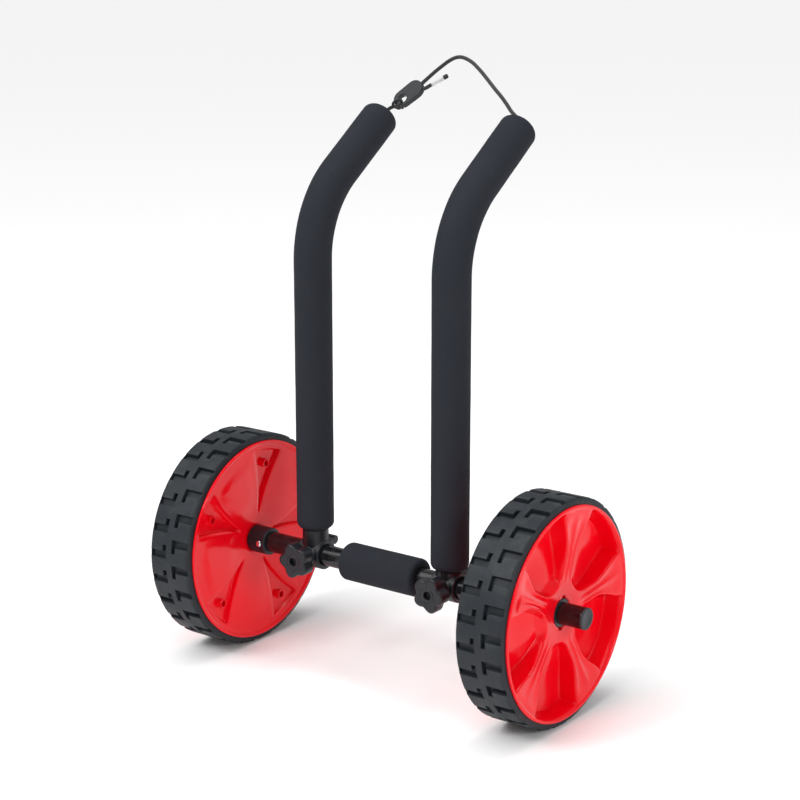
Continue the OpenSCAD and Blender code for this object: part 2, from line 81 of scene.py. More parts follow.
def span(node):
    """Size of a node's box along X, Y and Z."""
    low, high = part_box(node)
    return np.array(high - low)


AXLE = middle("axle_tube")
AXLE_R = span("axle_tube")[2] / 2
TYRE_R = span("right_tyre")[2] / 2
TYRE_W = span("right_tyre")[0]
SHELL = {side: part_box(f"{side}_outer_wheel_shell") for side in SIDES}
LIP_R = (SHELL["right"][1].z - SHELL["right"][0].z) / 2
WHEEL_X = {side: middle(f"{side}_tyre")[0] for side in SIDES}
WHEEL_HALF_W = SHELL["right"][1].x - WHEEL_X["right"]
ARM_X = {side: middle(f"{side}_arm_tube")[0] for side in SIDES}


# ---------------------------------------------------------------- settings


class CartSizes(bpy.types.PropertyGroup):
    """Sizes that the engineering model fixes, which the finished surfaces follow."""

    hub_r: bpy.props.FloatProperty(
        name="Hub radius", description="Radius of a wheel's hub", default=22 * MM, unit="LENGTH"
    )
    hub_sink: bpy.props.FloatProperty(
        name="Hub sink", description="How far the hub lies inside the rim", default=9.5 * MM, unit="LENGTH"
    )
    seat_r: bpy.props.FloatProperty(
        name="Tyre seat", description="Radius that the tyre sits on", default=118 * MM, unit="LENGTH"
    )
    spokes: bpy.props.IntProperty(
        name="Spokes", description="Spokes of a wheel", default=5, min=3, max=8
    )
    spoke_w: bpy.props.FloatProperty(
        name="Spoke width", description="Width of a spoke at its waist", default=16 * MM, unit="LENGTH"
    )
    blocks: bpy.props.IntProperty(
        name="Tread blocks", description="Blocks in each row of the tread", default=26, min=12, max=40
    )
    groove: bpy.props.FloatProperty(
        name="Groove depth", description="Depth of the tread", default=5 * MM, unit="LENGTH"
    )
    bend_r: bpy.props.FloatProperty(
        name="Bend radius", description="Radius of the arm's bend", default=119 * MM, unit="LENGTH"
    )
    bend: bpy.props.FloatProperty(
        name="Bend", description="Angle of the arm's bend", default=math.radians(55), subtype="ANGLE"
    )
    straight: bpy.props.FloatProperty(
        name="Straight", description="Height of the bend over the axle", default=353 * MM, unit="LENGTH"
    )
    tail: bpy.props.FloatProperty(
        name="Tail", description="Length of the arm past the bend", default=100 * MM, unit="LENGTH"
    )
    foam_round: bpy.props.FloatProperty(
        name="Foam rounding", description="Rounding of the foam's ends", default=8 * MM, unit="LENGTH"
    )
    cord_d: bpy.props.FloatProperty(
        name="Cord", description="Diameter of the shock cord", default=4.5 * MM, unit="LENGTH"
    )


def colour(name, text, rgb):
    """A colour setting."""
    return bpy.props.FloatVectorProperty(
        name=name, description=text, default=rgb, size=3, min=0, max=1, subtype="COLOR"
    )


class CartColours(bpy.types.PropertyGroup):
    """Colours of the cart's finishes, linear."""

    wheel: colour("Wheel", "Moulded plastic of the wheels", (0.86, 0.0, 0.008))
    tyre: colour("Tyre", "Solid rubber of the tyres", (0.013, 0.017, 0.022))
    foam: colour("Foam", "Closed-cell foam", (0.016, 0.019, 0.026))
    black: colour("Black plastic", "Clamps, knobs and the hook", (0.010, 0.012, 0.016))
    tube: colour("Tube", "Painted tubes", (0.005, 0.005, 0.006))
    plug: colour("Axle plug", "Plugs in the axle's ends", (0.030, 0.034, 0.040))
    cord: colour("Cord", "Woven cover and shade of the shock cord", (0.009, 0.010, 0.012))
    floor: colour("Floor", "Floor", (0.97, 0.97, 0.972))


def sizes():
    return bpy.context.scene.cart_sizes


def colours():
    return bpy.context.scene.cart_colours


# ---------------------------------------------------------------- shader groups and materials


class Nodes:
    """A node tree with short calls: add a node, set its inputs, join sockets."""

    def __init__(self, tree):
        self.tree = tree

    def add(self, kind, inputs=None, **settings):
        node = self.tree.nodes.new(kind)
        for key, value in settings.items():
            setattr(node, key, value)
        for key, value in (inputs or {}).items():
            if isinstance(value, bpy.types.NodeSocket):
                self.tree.links.new(value, node.inputs[key])
            else:
                node.inputs[key].default_value = value
        return node

    def math(self, operation, a, b=0.0, clamp=False):
        return self.add("ShaderNodeMath", {0: a, 1: b}, operation=operation, use_clamp=clamp).outputs[0]

    def ramp(self, value, low, high, out_low=0.0, out_high=1.0):
        """Maps value from low..high to out_low..out_high, smoothly and clamped."""
        node = self.add(
            "ShaderNodeMapRange",
            {"Value": value, "From Min": low, "From Max": high, "To Min": out_low, "To Max": out_high},
            interpolation_type="SMOOTHSTEP",
        )
        return node.outputs[0]

    def mix(self, factor, a, b):
        """Mixes two colours."""
        node = self.add("ShaderNodeMix", data_type="RGBA")
        for socket, value in ((node.inputs[0], factor), (node.inputs[6], a), (node.inputs[7], b)):
            if isinstance(value, bpy.types.NodeSocket):
                self.tree.links.new(value, socket)
            else:
                socket.default_value = value
        return node.outputs[2]

    def noise(self, vector, scale, detail=3.0, roughness=0.5):
        node = self.add(
            "ShaderNodeTexNoise",
            {"Vector": vector, "Scale": scale, "Detail": detail, "Roughness": roughness},
        )
        return node.outputs[0]


def make_group(name, inputs, outputs, build):
    """A shader group: inputs are (name, kind, default), outputs (name, kind)."""
    tree = bpy.data.node_groups.new(name, "ShaderNodeTree")
    for title, kind, default in inputs:
        socket = tree.interface.new_socket(title, in_out="INPUT", socket_type=kind)
        if default is not None:
            socket.default_value = default
    for title, kind in outputs:
        tree.interface.new_socket(title, in_out="OUTPUT", socket_type=kind)
    nodes = Nodes(tree)
    source = nodes.add("NodeGroupInput")
    results = build(nodes, source.outputs)
    sink = nodes.add("NodeGroupOutput")
    for title, socket in results.items():
        tree.links.new(socket, sink.inputs[title])
    return tree


FLOAT, COLOUR, VECTOR = "NodeSocketFloat", "NodeSocketColor", "NodeSocketVector"


def tinted_grain(nodes, given):
    """Broad and fine noise: the broad one shades the colour, both raise the surface."""
    broad = nodes.noise(given["Position"], given["Broad scale"], 3.0)
    fine = nodes.noise(given["Position"], given["Fine scale"], 2.0, 0.6)
    darker = nodes.mix(0.5, given["Colour"], (0, 0, 0, 1))
    strength = nodes.math("MULTIPLY", nodes.math("SUBTRACT", 1.0, broad), given["Shade"], clamp=True)
    tint = nodes.mix(strength, given["Colour"], darker)
    height = nodes.math("ADD", nodes.math("MULTIPLY", broad, 0.35), nodes.math("MULTIPLY", fine, 0.65))
    return {"Colour": tint, "Height": height, "Mask": broad}


def edge_wear(nodes, given):
    """Rubbed edges: how sharply the surface turns, broken up by noise."""
    geometry = nodes.add("ShaderNodeNewGeometry")
    sharp = nodes.ramp(geometry.outputs["Pointiness"], given["From"], given["To"])
    broken = nodes.noise(given["Position"], given["Scale"], 4.0, 0.7)
    mask = nodes.math("MULTIPLY", sharp, nodes.ramp(broken, 0.35, 0.65), clamp=True)
    amount = nodes.math("MULTIPLY", mask, given["Amount"], clamp=True)
    return {"Colour": nodes.mix(amount, given["Colour"], given["Worn"]), "Mask": amount}


def settled_dust(nodes, given):
    """Pale dust on what faces up and in what is patchy."""
    geometry = nodes.add("ShaderNodeNewGeometry")
    split = nodes.add("ShaderNodeSeparateXYZ", {0: geometry.outputs["Normal"]})
    up = nodes.ramp(split.outputs[2], -0.2, 1.0, 0.25, 1.0)
    patch = nodes.ramp(nodes.noise(given["Position"], given["Scale"], 5.0, 0.65), 0.42, 0.75)
    amount = nodes.math("MULTIPLY", nodes.math("MULTIPLY", up, patch), given["Amount"], clamp=True)
    return {"Colour": nodes.mix(amount, given["Colour"], given["Dust"]), "Mask": amount}


def woven_cover_and_shade(nodes, given):
    """Braid of a cord from its own map: two families of strands that cross."""
    split = nodes.add("ShaderNodeSeparateXYZ", {0: given["Map"]})
    along = nodes.math("MULTIPLY", split.outputs[0], given["Pitch"])
    around = nodes.math("MULTIPLY", split.outputs[1], given["Strands"])
    turn = 2 * math.pi
    one = nodes.math("SINE", nodes.math("MULTIPLY", nodes.math("ADD", along, around), turn))
    two = nodes.math("SINE", nodes.math("MULTIPLY", nodes.math("SUBTRACT", along, around), turn))
    height = nodes.math("MULTIPLY", nodes.math("MAXIMUM", one, two), 0.5)
    # painted light and shade: the braid's crests are painted lighter and its hollows darker
    shade = nodes.ramp(height, 0.0, 0.5, 0.0, 0.8)
    return {"Colour": nodes.mix(shade, given["Low"], given["High"]), "Height": height}


def build_groups():
    """Makes every shared shader group and returns them by name."""
    place = ("Position", VECTOR, None)
    return {
        "grain": make_group(
            "Tinted grain",
            [place, ("Colour", COLOUR, None), ("Shade", FLOAT, 0.5),
             ("Broad scale", FLOAT, 20.0), ("Fine scale", FLOAT, 900.0)],
            [("Colour", COLOUR), ("Height", FLOAT), ("Mask", FLOAT)],
            tinted_grain,
        ),
        "wear": make_group(
            "Edge wear",
            [place, ("Colour", COLOUR, None), ("Worn", COLOUR, None), ("Amount", FLOAT, 0.3),
             ("Scale", FLOAT, 120.0), ("From", FLOAT, 0.52), ("To", FLOAT, 0.6)],
            [("Colour", COLOUR), ("Mask", FLOAT)],
            edge_wear,
        ),
        "dust": make_group(
            "Settled dust",
            [place, ("Colour", COLOUR, None), ("Dust", COLOUR, (0.5, 0.5, 0.5, 1)),
             ("Amount", FLOAT, 0.2), ("Scale", FLOAT, 30.0)],
            [("Colour", COLOUR), ("Mask", FLOAT)],
            settled_dust,
        ),
        # the braid's bump, with painted shade in its hollows and painted light on its crests
        "weave": make_group(
            "Woven cover and shade",
            [("Map", VECTOR, None), ("Low", COLOUR, None), ("High", COLOUR, None),
             ("Pitch", FLOAT, 500.0), ("Strands", FLOAT, 8.0)],
            [("Colour", COLOUR), ("Height", FLOAT)],
            woven_cover_and_shade,
        ),
    }


def rgba(rgb):
    return (*rgb, 1.0)


class Finish:
    """A material with a Principled shader and the cart's groups."""

    def __init__(self, name, **shader):
        self.material = bpy.data.materials.new(name)
        self.material.use_nodes = True
        self.nodes = Nodes(self.material.node_tree)
        self.shader = self.material.node_tree.nodes["Principled BSDF"]
        for key, value in shader.items():
            self.shader.inputs[key.replace("_", " ")].default_value = value
        self.place = self.nodes.add("ShaderNodeTexCoord").outputs["Object"]

    def use(self, group, **inputs):
        """Places a shared group; spaces in input names are written as underscores."""
        node = self.nodes.add("ShaderNodeGroup", node_tree=GROUPS[group])
        if "Position" in node.inputs:
            self.nodes.tree.links.new(self.place, node.inputs["Position"])
        for key, value in inputs.items():
            socket = node.inputs[key.replace("_", " ")]
            if isinstance(value, bpy.types.NodeSocket):
                self.nodes.tree.links.new(value, socket)
            else:
                socket.default_value = value
        return node.outputs

    def paint(self, socket):
        self.nodes.tree.links.new(socket, self.shader.inputs["Base Color"])

    def rough(self, socket, low, high):
        """Roughness that follows a mask from low to high."""
        value = self.nodes.ramp(socket, 0.0, 1.0, low, high)
        self.nodes.tree.links.new(value, self.shader.inputs["Roughness"])

    def bump(self, height, distance, strength=1.0):
        node = self.nodes.add(
            "ShaderNodeBump", {"Height": height, "Distance": distance, "Strength": strength}
        )
        self.nodes.tree.links.new(node.outputs[0], self.shader.inputs["Normal"])


def wheel_finish():
    """Glossy red moulding, with a faint sink-mark wave and rubbed edges."""
    red = rgba(colours().wheel)
    finish = Finish("moulded_red", Roughness=0.2, Specular_IOR_Level=0.3)
    grain = finish.use("grain", Colour=red, Shade=0.12, Broad_scale=14.0, Fine_scale=420.0)
    worn = finish.use("wear", Colour=grain["Colour"], Worn=(0.9, 0.05, 0.07, 1), Amount=0.2)
    finish.paint(worn["Colour"])
    finish.rough(grain["Mask"], 0.12, 0.22)
    finish.bump(grain["Height"], 0.00006)
    return finish.material


def tyre_finish():
    """Matt solid rubber with fine mould grain and dust."""
    finish = Finish("solid_rubber", Roughness=0.55, Specular_IOR_Level=0.3)
    grain = finish.use("grain", Colour=rgba(colours().tyre), Shade=0.5, Broad_scale=35.0, Fine_scale=700.0)
    worn = finish.use("wear", Colour=grain["Colour"], Worn=(0.05, 0.055, 0.06, 1), Amount=0.5)
    dust = finish.use("dust", Colour=worn["Colour"], Dust=(0.08, 0.085, 0.09, 1), Amount=0.25, Scale=45.0)
    finish.paint(dust["Colour"])
    finish.rough(grain["Mask"], 0.42, 0.68)
    finish.bump(grain["Height"], 0.00018)
    return finish.material


def foam_finish():
    """Closed-cell foam: a soft skin of fine cells, uneven in shade, with a faint sheen."""
    finish = Finish("closed_cell_foam", Roughness=0.82, Specular_IOR_Level=0.18)
    grain = finish.use("grain", Colour=rgba(colours().foam), Shade=0.35, Broad_scale=16.0, Fine_scale=850.0)
    cells = finish.nodes.add(
        "ShaderNodeTexVoronoi", {"Vector": finish.place, "Scale": 900.0}, feature="F1"
    ).outputs["Distance"]
    pores = finish.nodes.ramp(cells, 0.1, 0.55)
    tint = finish.nodes.mix(finish.nodes.math("MULTIPLY", pores, 0.35), grain["Colour"], (0.022, 0.024, 0.031, 1))
    dust = finish.use("dust", Colour=tint, Dust=(0.05, 0.052, 0.06, 1), Amount=0.12, Scale=18.0)
    finish.paint(dust["Colour"])
    finish.rough(grain["Mask"], 0.74, 0.92)
    height = finish.nodes.math("ADD", finish.nodes.math("MULTIPLY", pores, 0.5), grain["Height"])
    finish.bump(height, 0.00022)
    return finish.material


def plastic_finish(name, rgb, low=0.30, high=0.5):
    """Satin moulded plastic with a spark-eroded grain and paler rubbed edges."""
    finish = Finish(name, Roughness=low, Specular_IOR_Level=0.35)
    grain = finish.use("grain", Colour=rgba(rgb), Shade=0.3, Broad_scale=60.0, Fine_scale=1500.0)
    worn = finish.use(
        "wear", Colour=grain["Colour"], Worn=(0.05, 0.052, 0.056, 1), Amount=0.4, Scale=260.0
    )
    finish.paint(worn["Colour"])
    finish.rough(grain["Mask"], low, high)
    finish.bump(grain["Height"], 0.00007)
    return finish.material


def tube_finish():
    """Gloss black paint over tube: faint orange peel and fine rubbed scratches."""
    finish = Finish("gloss_black_paint", Roughness=0.2, Specular_IOR_Level=0.45)
    grain = finish.use("grain", Colour=rgba(colours().tube), Shade=0.2, Broad_scale=45.0, Fine_scale=380.0)
    worn = finish.use("wear", Colour=grain["Colour"], Worn=(0.10, 0.105, 0.11, 1), Amount=0.15)
    finish.paint(worn["Colour"])
    finish.rough(grain["Mask"], 0.14, 0.22)
    finish.bump(grain["Height"], 0.00005)
    return finish.material


def steel_finish():
    """Bright plated steel with fine turning marks."""
    finish = Finish("bright_plated_steel", Metallic=1.0, Roughness=0.25)
    grain = finish.use("grain", Colour=(0.72, 0.73, 0.75, 1), Shade=0.3, Broad_scale=90.0, Fine_scale=1800.0)
    finish.paint(grain["Colour"])
    finish.rough(grain["Mask"], 0.16, 0.36)
    finish.bump(grain["Height"], 0.00003)
    return finish.material


def cord_finish():
    """Woven cover over rubber, from the cord's own map."""
    finish = Finish("woven_cord_cover", Roughness=0.72, Sheen_Weight=0.2, Sheen_Roughness=0.5)
    uv = finish.nodes.add("ShaderNodeUVMap", uv_map="cord_map").outputs[0]
    low = colours().cord
    # the darker colour is painted shade for the braid's hollows, the lighter one painted light for its crests
    weave = finish.use(
        "weave", Map=uv, Low=rgba([c * 0.35 for c in low]), High=rgba([c * 1.9 for c in low])
    )
    grain = finish.use("grain", Colour=weave["Colour"], Shade=0.3, Broad_scale=150.0, Fine_scale=2500.0)
    finish.paint(grain["Colour"])
    finish.rough(grain["Mask"], 0.62, 0.82)
    finish.bump(weave["Height"], 0.00025)
    return finish.material


def clear_finish():
    """Clear heat-shrink sleeve, clouded where it was heated."""
    finish = Finish("clear_sleeve", Roughness=0.12, Alpha=0.45, IOR=1.46)
    grain = finish.use("grain", Colour=(0.86, 0.87, 0.88, 1), Shade=0.1, Broad_scale=300.0, Fine_scale=2000.0)
    finish.paint(grain["Colour"])
    finish.rough(grain["Mask"], 0.08, 0.3)
    finish.bump(grain["Height"], 0.00008)
    finish.material.surface_render_method = "DITHERED"
    return finish.material


def brass_finish():
    """Turned brass of the pressure pads."""
    finish = Finish("turned_brass", Metallic=1.0, Roughness=0.3)
    grain = finish.use("grain", Colour=(0.62, 0.45, 0.18, 1), Shade=0.4, Broad_scale=120.0, Fine_scale=1600.0)
    finish.paint(grain["Colour"])
    finish.rough(grain["Mask"], 0.2, 0.42)
    finish.bump(grain["Height"], 0.00004)
    return finish.material


def floor_finish():
    """Plain pale studio floor."""
    finish = Finish("studio_floor", Roughness=0.75)
    grain = finish.use("grain", Colour=rgba(colours().floor), Shade=0.02, Broad_scale=2.0, Fine_scale=60.0)
    finish.paint(grain["Colour"])
    return finish.material


GROUPS = {}
FINISH = {}


def build_finishes():
    """Makes the groups and every material, once."""
    GROUPS.update(build_groups())
    FINISH.update(
        wheel=wheel_finish(),
        tyre=tyre_finish(),
        foam=foam_finish(),
        black=plastic_finish("satin_black_plastic", colours().black),
        plug=plastic_finish("grey_plug_plastic", colours().plug, 0.45, 0.6),
        tube=tube_finish(),
        steel=steel_finish(),
        cord=cord_finish(),
        clear=clear_finish(),
        brass=brass_finish(),
        floor=floor_finish(),
    )


# ---------------------------------------------------------------- surfaces


def smooth(t):
    """Smooth step: 0 below 0, 1 above 1, and 3t^2 - 2t^3 between."""
    t = np.clip(t, 0.0, 1.0)
    return t * t * (3 - 2 * t)


def grid_faces(rows, cols, wrap_rows, wrap_cols):
    """Quads of a grid whose point (i, j) has the number i * cols + j."""
    i, j = np.meshgrid(
        np.arange(rows if wrap_rows else rows - 1),
        np.arange(cols if wrap_cols else cols - 1),
        indexing="ij",
    )
    i, j = i.ravel(), j.ravel()
    ahead, beside = (i + 1) % rows, (j + 1) % cols
    return np.stack([i * cols + j, i * cols + beside, ahead * cols + beside, ahead * cols + j], 1)


def surface(points, wrap_rows=False, wrap_cols=True):
    """(vertices, faces) of a grid of points, rows by cols by 3."""
    rows, cols = points.shape[:2]
    return points.reshape(-1, 3), grid_faces(rows, cols, wrap_rows, wrap_cols)


def joined(*parts):
    """Several (vertices, faces) as one."""
    counts = np.cumsum([0] + [len(vertices) for vertices, _ in parts[:-1]])
    faces = [faces + start for (_, faces), start in zip(parts, counts)]
    return np.concatenate([vertices for vertices, _ in parts]), np.concatenate(faces)


def tidy_mesh(mesh, weld=2e-6):
    """Merges doubles, drops what has no area and turns every face outwards."""
    work = bmesh.new()
    work.from_mesh(mesh)
    bmesh.ops.remove_doubles(work, verts=work.verts, dist=weld)
    bmesh.ops.dissolve_degenerate(work, edges=work.edges, dist=weld / 2)
    bmesh.ops.recalc_face_normals(work, faces=work.faces)
    work.to_mesh(mesh)
    work.free()


def make_piece(name, shape, finish, body, replaces=(), crease=40):
    """A finished piece from (vertices, faces): tidied, shaded, painted, and riding on its body."""
    vertices, faces = shape
    mesh = bpy.data.meshes.new(name)
    mesh.from_pydata(vertices.tolist(), [], faces.tolist())
    tidy_mesh(mesh)
    piece = bpy.data.objects.new(name, mesh)
    bpy.context.scene.collection.objects.link(piece)
    return dress(piece, finish, body, replaces, crease)


def dress(piece, finish, body, replaces=(), crease=40):
    """Shades and paints a piece, and tells the frame what it is."""
    mesh = piece.data
    mesh.polygons.foreach_set("use_smooth", np.ones(len(mesh.polygons), bool))
    if crease:
        mesh.set_sharp_from_angle(angle=math.radians(crease))
    mesh.materials.clear()
    mesh.materials.append(FINISH[finish])
    if body:
        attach(piece, body)
    if replaces:
        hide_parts(*replaces)
    return piece


def arc(centre, radius, start, end, count=6):
    """Points of an arc in a plane, from angle start to end in degrees."""
    angle = np.radians(np.linspace(start, end, count))
    return np.stack([centre[0] + radius * np.cos(angle), centre[1] + radius * np.sin(angle)], 1)


def turned(profile, origin, axis, side, steps=72):
    """A profile of (radius, height) points turned about axis. The profile is closed to a ring, so
    a solid starts and ends on radius 0 or runs round its own bore."""
    profile = np.asarray(profile, float)
    angle = np.linspace(0, 2 * math.pi, steps, endpoint=False)
    across = np.cross(axis, side)
    ring = np.cos(angle)[:, None] * side + np.sin(angle)[:, None] * across
    points = origin + profile[:, 0, None, None] * ring + profile[:, 1, None, None] * axis
    return surface(points, wrap_rows=True)


def spline(points, count):
    """A smooth curve through points: Catmull-Rom on equal chord lengths, with count points that
    lie at equal lengths along it."""
    p = np.asarray(points, float)
    knots = np.concatenate([[0], np.cumsum(np.linalg.norm(np.diff(p, axis=0), axis=1))])
    slopes = np.gradient(p, knots, axis=0)
    fine = np.linspace(0, knots[-1], count * 8)
    k = np.clip(np.searchsorted(knots, fine, side="right") - 1, 0, len(p) - 2)
    h = knots[k + 1] - knots[k]
    t = ((fine - knots[k]) / h)[:, None]
    h = h[:, None]
    curve = (
        (2 * t**3 - 3 * t**2 + 1) * p[k]
        + (t**3 - 2 * t**2 + t) * h * slopes[k]
        + (3 * t**2 - 2 * t**3) * p[k + 1]
        + (t**3 - t**2) * h * slopes[k + 1]
    )
    length = np.concatenate([[0], np.cumsum(np.linalg.norm(np.diff(curve, axis=0), axis=1))])
    even = np.linspace(0, length[-1], count)
    return np.stack([np.interp(even, length, curve[:, c]) for c in range(3)], 1), length[-1]


def swept(path, radii, level, steps=24):
    """Rings of the given radii across a path. level is a direction that is never along the path:
    each ring's first axis is at right angles to it, so the sweep doesn't twist."""
    path = np.asarray(path, float)
    along = np.gradient(path, axis=0)
    along /= np.linalg.norm(along, axis=1)[:, None]
    first = np.cross(along, level)
    first /= np.linalg.norm(first, axis=1)[:, None]
    second = np.cross(along, first)
    angle = np.linspace(0, 2 * math.pi, steps, endpoint=False)
    ring = np.cos(angle)[None, :, None] * first[:, None] + np.sin(angle)[None, :, None] * second[:, None]
    return path[:, None] + np.asarray(radii)[:, None, None] * ring


def evaluated_mesh(piece):
    """The piece's mesh with its modifiers applied."""
    graph = bpy.context.evaluated_depsgraph_get()
    return bpy.data.meshes.new_from_object(piece.evaluated_get(graph), depsgraph=graph)


def softened(name, nodes, voxel, rounds, strength=0.5):
    """A moulded look for engineering solids: their copy is merged, rebuilt in even voxels and
    relaxed, so that its corners turn into small fillets."""
    work = bmesh.new()
    for node in nodes:
        work.from_mesh(frame["nodes"][node].data)
    bmesh.ops.remove_doubles(work, verts=work.verts, dist=2e-6)
    mesh = bpy.data.meshes.new(name)
    work.to_mesh(mesh)
    work.free()
    piece = bpy.data.objects.new(name, mesh)
    bpy.context.scene.collection.objects.link(piece)
    remesh = piece.modifiers.new("voxels", "REMESH")
    remesh.mode = "VOXEL"
    remesh.voxel_size = voxel
    relax = piece.modifiers.new("relax", "SMOOTH")
    relax.factor = strength
    relax.iterations = rounds
    piece.data = evaluated_mesh(piece)
    piece.modifiers.clear()
    bpy.data.meshes.remove(mesh)
    piece.data.name = name
    return piece


# ---------------------------------------------------------------- wheels


def wheel_axes(side):
    """Origin and axes of a wheel: two across its plane and the last one outwards. Both wheels are
    the same moulding, one turned round, and each has a spoke 10 degrees off upright."""
    origin = np.array([WHEEL_X[side], AXLE[1], AXLE[2]])
    if side == "right":
        return origin, -Z, Y, X, math.radians(170)
    return origin, Z, Y, -X, math.radians(10)


def on_wheel(side, r, angle, z):
    """Points at radius r, angle round the wheel and height z outwards."""
    origin, across, up, out, turn = wheel_axes(side)
    a = angle + turn
    return (
        origin
        + (r * np.cos(a))[..., None] * across
        + (r * np.sin(a))[..., None] * up
        + z[..., None] * out
    )


# Columns of one sector, from the middle of a spoke (0) to the middle of a pocket (1)
SPOKE_EDGE, WALL_EDGE = 0.35, 0.5
HALF_SECTOR = np.array(
    [0, 0.05, 0.11, 0.17, 0.175, 0.23, 0.29, 0.33, 0.35,
     0.365, 0.385, 0.41, 0.44, 0.47, 0.49, 0.5, 0.58, 0.67, 0.78, 0.9]
)


def sector_columns(count, half):
    """Signed columns and sector numbers right round a wheel."""
    one = np.concatenate([half, [1.0], -half[:0:-1]])
    return np.tile(one, count), (np.arange(count)[:, None] + (one < 0)[None]).ravel()


def sector_angle(t, sector, count, inner, wall):
    """Angle of column t: the middle band's half-width is `inner`, the wall's run is `wall`."""
    half = math.pi / count
    size = np.abs(t)
    band = inner * size / SPOKE_EDGE
    slope = inner + wall * (size - SPOKE_EDGE) / (WALL_EDGE - SPOKE_EDGE)
    rest = inner + wall + (half - inner - wall) * (size - WALL_EDGE) / (1 - WALL_EDGE)
    angle = np.where(size <= SPOKE_EDGE, band, np.where(size <= WALL_EDGE, slope, rest))
    return np.sign(t) * angle + sector * 2 * half


def cone(r, rim_z):
    """Height of the dished face between the hub and the rim."""
    s = sizes()
    hub_z = WHEEL_HALF_W - s.hub_sink
    return hub_z + (rim_z - hub_z) * (r - s.hub_r) / (s.seat_r - 3 * MM - s.hub_r)


def outer_face(r, t):
    """Height of the outer moulding's front. Fluted spokes stand at the cone's height: a ridge runs
    down the middle and one down each edge. Between them the pockets sink from the hub to the rim."""
    s = sizes()
    size = np.abs(t)
    face = cone(r, WHEEL_HALF_W - 1.5 * MM)
    start, end = 31 * MM, 113 * MM
    flute = 1.7 * MM * smooth((r - start) / (18 * MM)) * (1 - smooth((r - 98 * MM) / (16 * MM)))
    groove = 1 - np.abs(2 * size / SPOKE_EDGE - 1)
    face = face - flute * smooth(groove * 1.4) * (size < SPOKE_EDGE)
    rolled = smooth((size - 0.8 * SPOKE_EDGE) / (0.2 * SPOKE_EDGE))
    wall = smooth((size - SPOKE_EDGE) / (WALL_EDGE - SPOKE_EDGE))
    opened = smooth((r - start) / (12 * MM))
    closed = 1 - 0.86 * smooth((r - end) / (4 * MM))
    deep = 21 * MM * (0.42 + 0.58 * smooth((r - start) / (60 * MM))) * opened * closed
    bowl = 1 - 0.10 * smooth((size - WALL_EDGE) / (1 - WALL_EDGE))
    return face - 0.6 * MM * rolled * opened - deep * wall * bowl


def spoke_half_angle(r):
    """Half the angle that a spoke takes at radius r: broad where it leaves the hub, waisted, and
    flared to the rim. The pockets' inner ends are round."""
    s = sizes()
    half = math.pi / s.spokes
    wall = 5 * MM / r
    waist = s.spoke_w / 2
    flare = 19 * MM * smooth((r - 62 * MM) / (60 * MM)) ** 1.2
    narrow = np.arcsin(np.clip((waist + flare) / r, 0, 0.99))
    grow = np.clip((r - 33 * MM) / (13 * MM), 0, 1)
    open_share = np.sqrt(1 - (1 - grow) ** 2)
    widest = half - wall - 0.02
    return np.minimum(widest - (widest - narrow) * open_share, widest), wall


def rim_rise(z, r, start, end, top):
    """Lifts z to the height `top` between radius start and end."""
    return z + (top - z) * smooth((r - start) / (end - start))


def moulding(side, radius, angle, face, bore, outwards):
    """A wheel moulding as one closed ring of rows: hub bore and hub face, the front, the rim's lip
    and tyre seat, and the back, which is the front moved back by the wall. radius and face are rows
    by columns, and so is angle."""
    s = sizes()
    wall, lip = 3 * MM, WHEEL_HALF_W
    ones = np.ones(angle.shape[1])
    hub = [(r * ones, angle[0], z * ones) for r, z in bore]
    front = list(zip(radius, angle, face))
    edge = [
        (LIP_R - 1 * MM, lip), (LIP_R - 0.3 * MM, lip - 0.3 * MM), (LIP_R, lip - 1 * MM),
        (LIP_R, lip - 2.7 * MM), (LIP_R - 0.3 * MM, lip - 3 * MM), (s.seat_r, lip - 3 * MM),
        (s.seat_r, 0.0), (s.seat_r - wall, 0.0),
    ]
    rim = [(r * ones, angle[-1], z * ones) for r, z in edge]
    keep = (radius[:, 0] > s.hub_r + 1 * MM) & (radius[:, 0] < s.seat_r - wall - 0.5 * MM)
    back = list(zip(radius[keep][::-1], angle[keep][::-1], np.maximum(face[keep][::-1] - wall, 0.5 * MM)))
    tube = [(s.hub_r * ones, angle[0], back[-1][2]), (s.hub_r * ones, angle[0], 0.0 * ones)]
    r, a, z = (np.array([row[k] for row in hub + front + rim + back + tube]) for k in range(3))
    return surface(on_wheel(side, r, a, z * outwards), wrap_rows=True)


def outer_shell(side):
    """The outer moulding: fluted spokes, deep pockets and a hub with two key notches."""
    s = sizes()
    t, sector = sector_columns(s.spokes, HALF_SECTOR)
    rows = MM * np.concatenate(
        [np.linspace(22.8, 34, 9), np.linspace(36, 112, 30), np.linspace(113, 117, 8), [117.6, 118.4, 119.2, 120]]
    )
    radius = np.repeat(rows[:, None], len(t), 1)
    inner, wall = spoke_half_angle(radius)
    angle = sector_angle(t[None], sector[None], s.spokes, inner, wall)
    face = rim_rise(outer_face(radius, t[None]), radius, 116 * MM, 119.6 * MM, WHEEL_HALF_W)
    hub_z = WHEEL_HALF_W - s.hub_sink
    bore = AXLE_R + 2.1 * MM
    folded = np.abs((np.degrees(angle[0]) + 90) % 180 - 90)
    notch = 3 * MM * smooth((13 - folded) / 3)
    catch = bore + 1.9 * MM + notch
    hub = [
        (bore, 0.0), (bore, hub_z - 4.5 * MM), (catch, hub_z - 4.5 * MM), (catch, hub_z - 0.4 * MM),
        (catch + 0.4 * MM, hub_z), (s.hub_r - 1.2 * MM, hub_z), (s.hub_r - 0.3 * MM, hub_z - 0.2 * MM),
    ]
    return moulding(side, radius, angle, face, hub, 1)


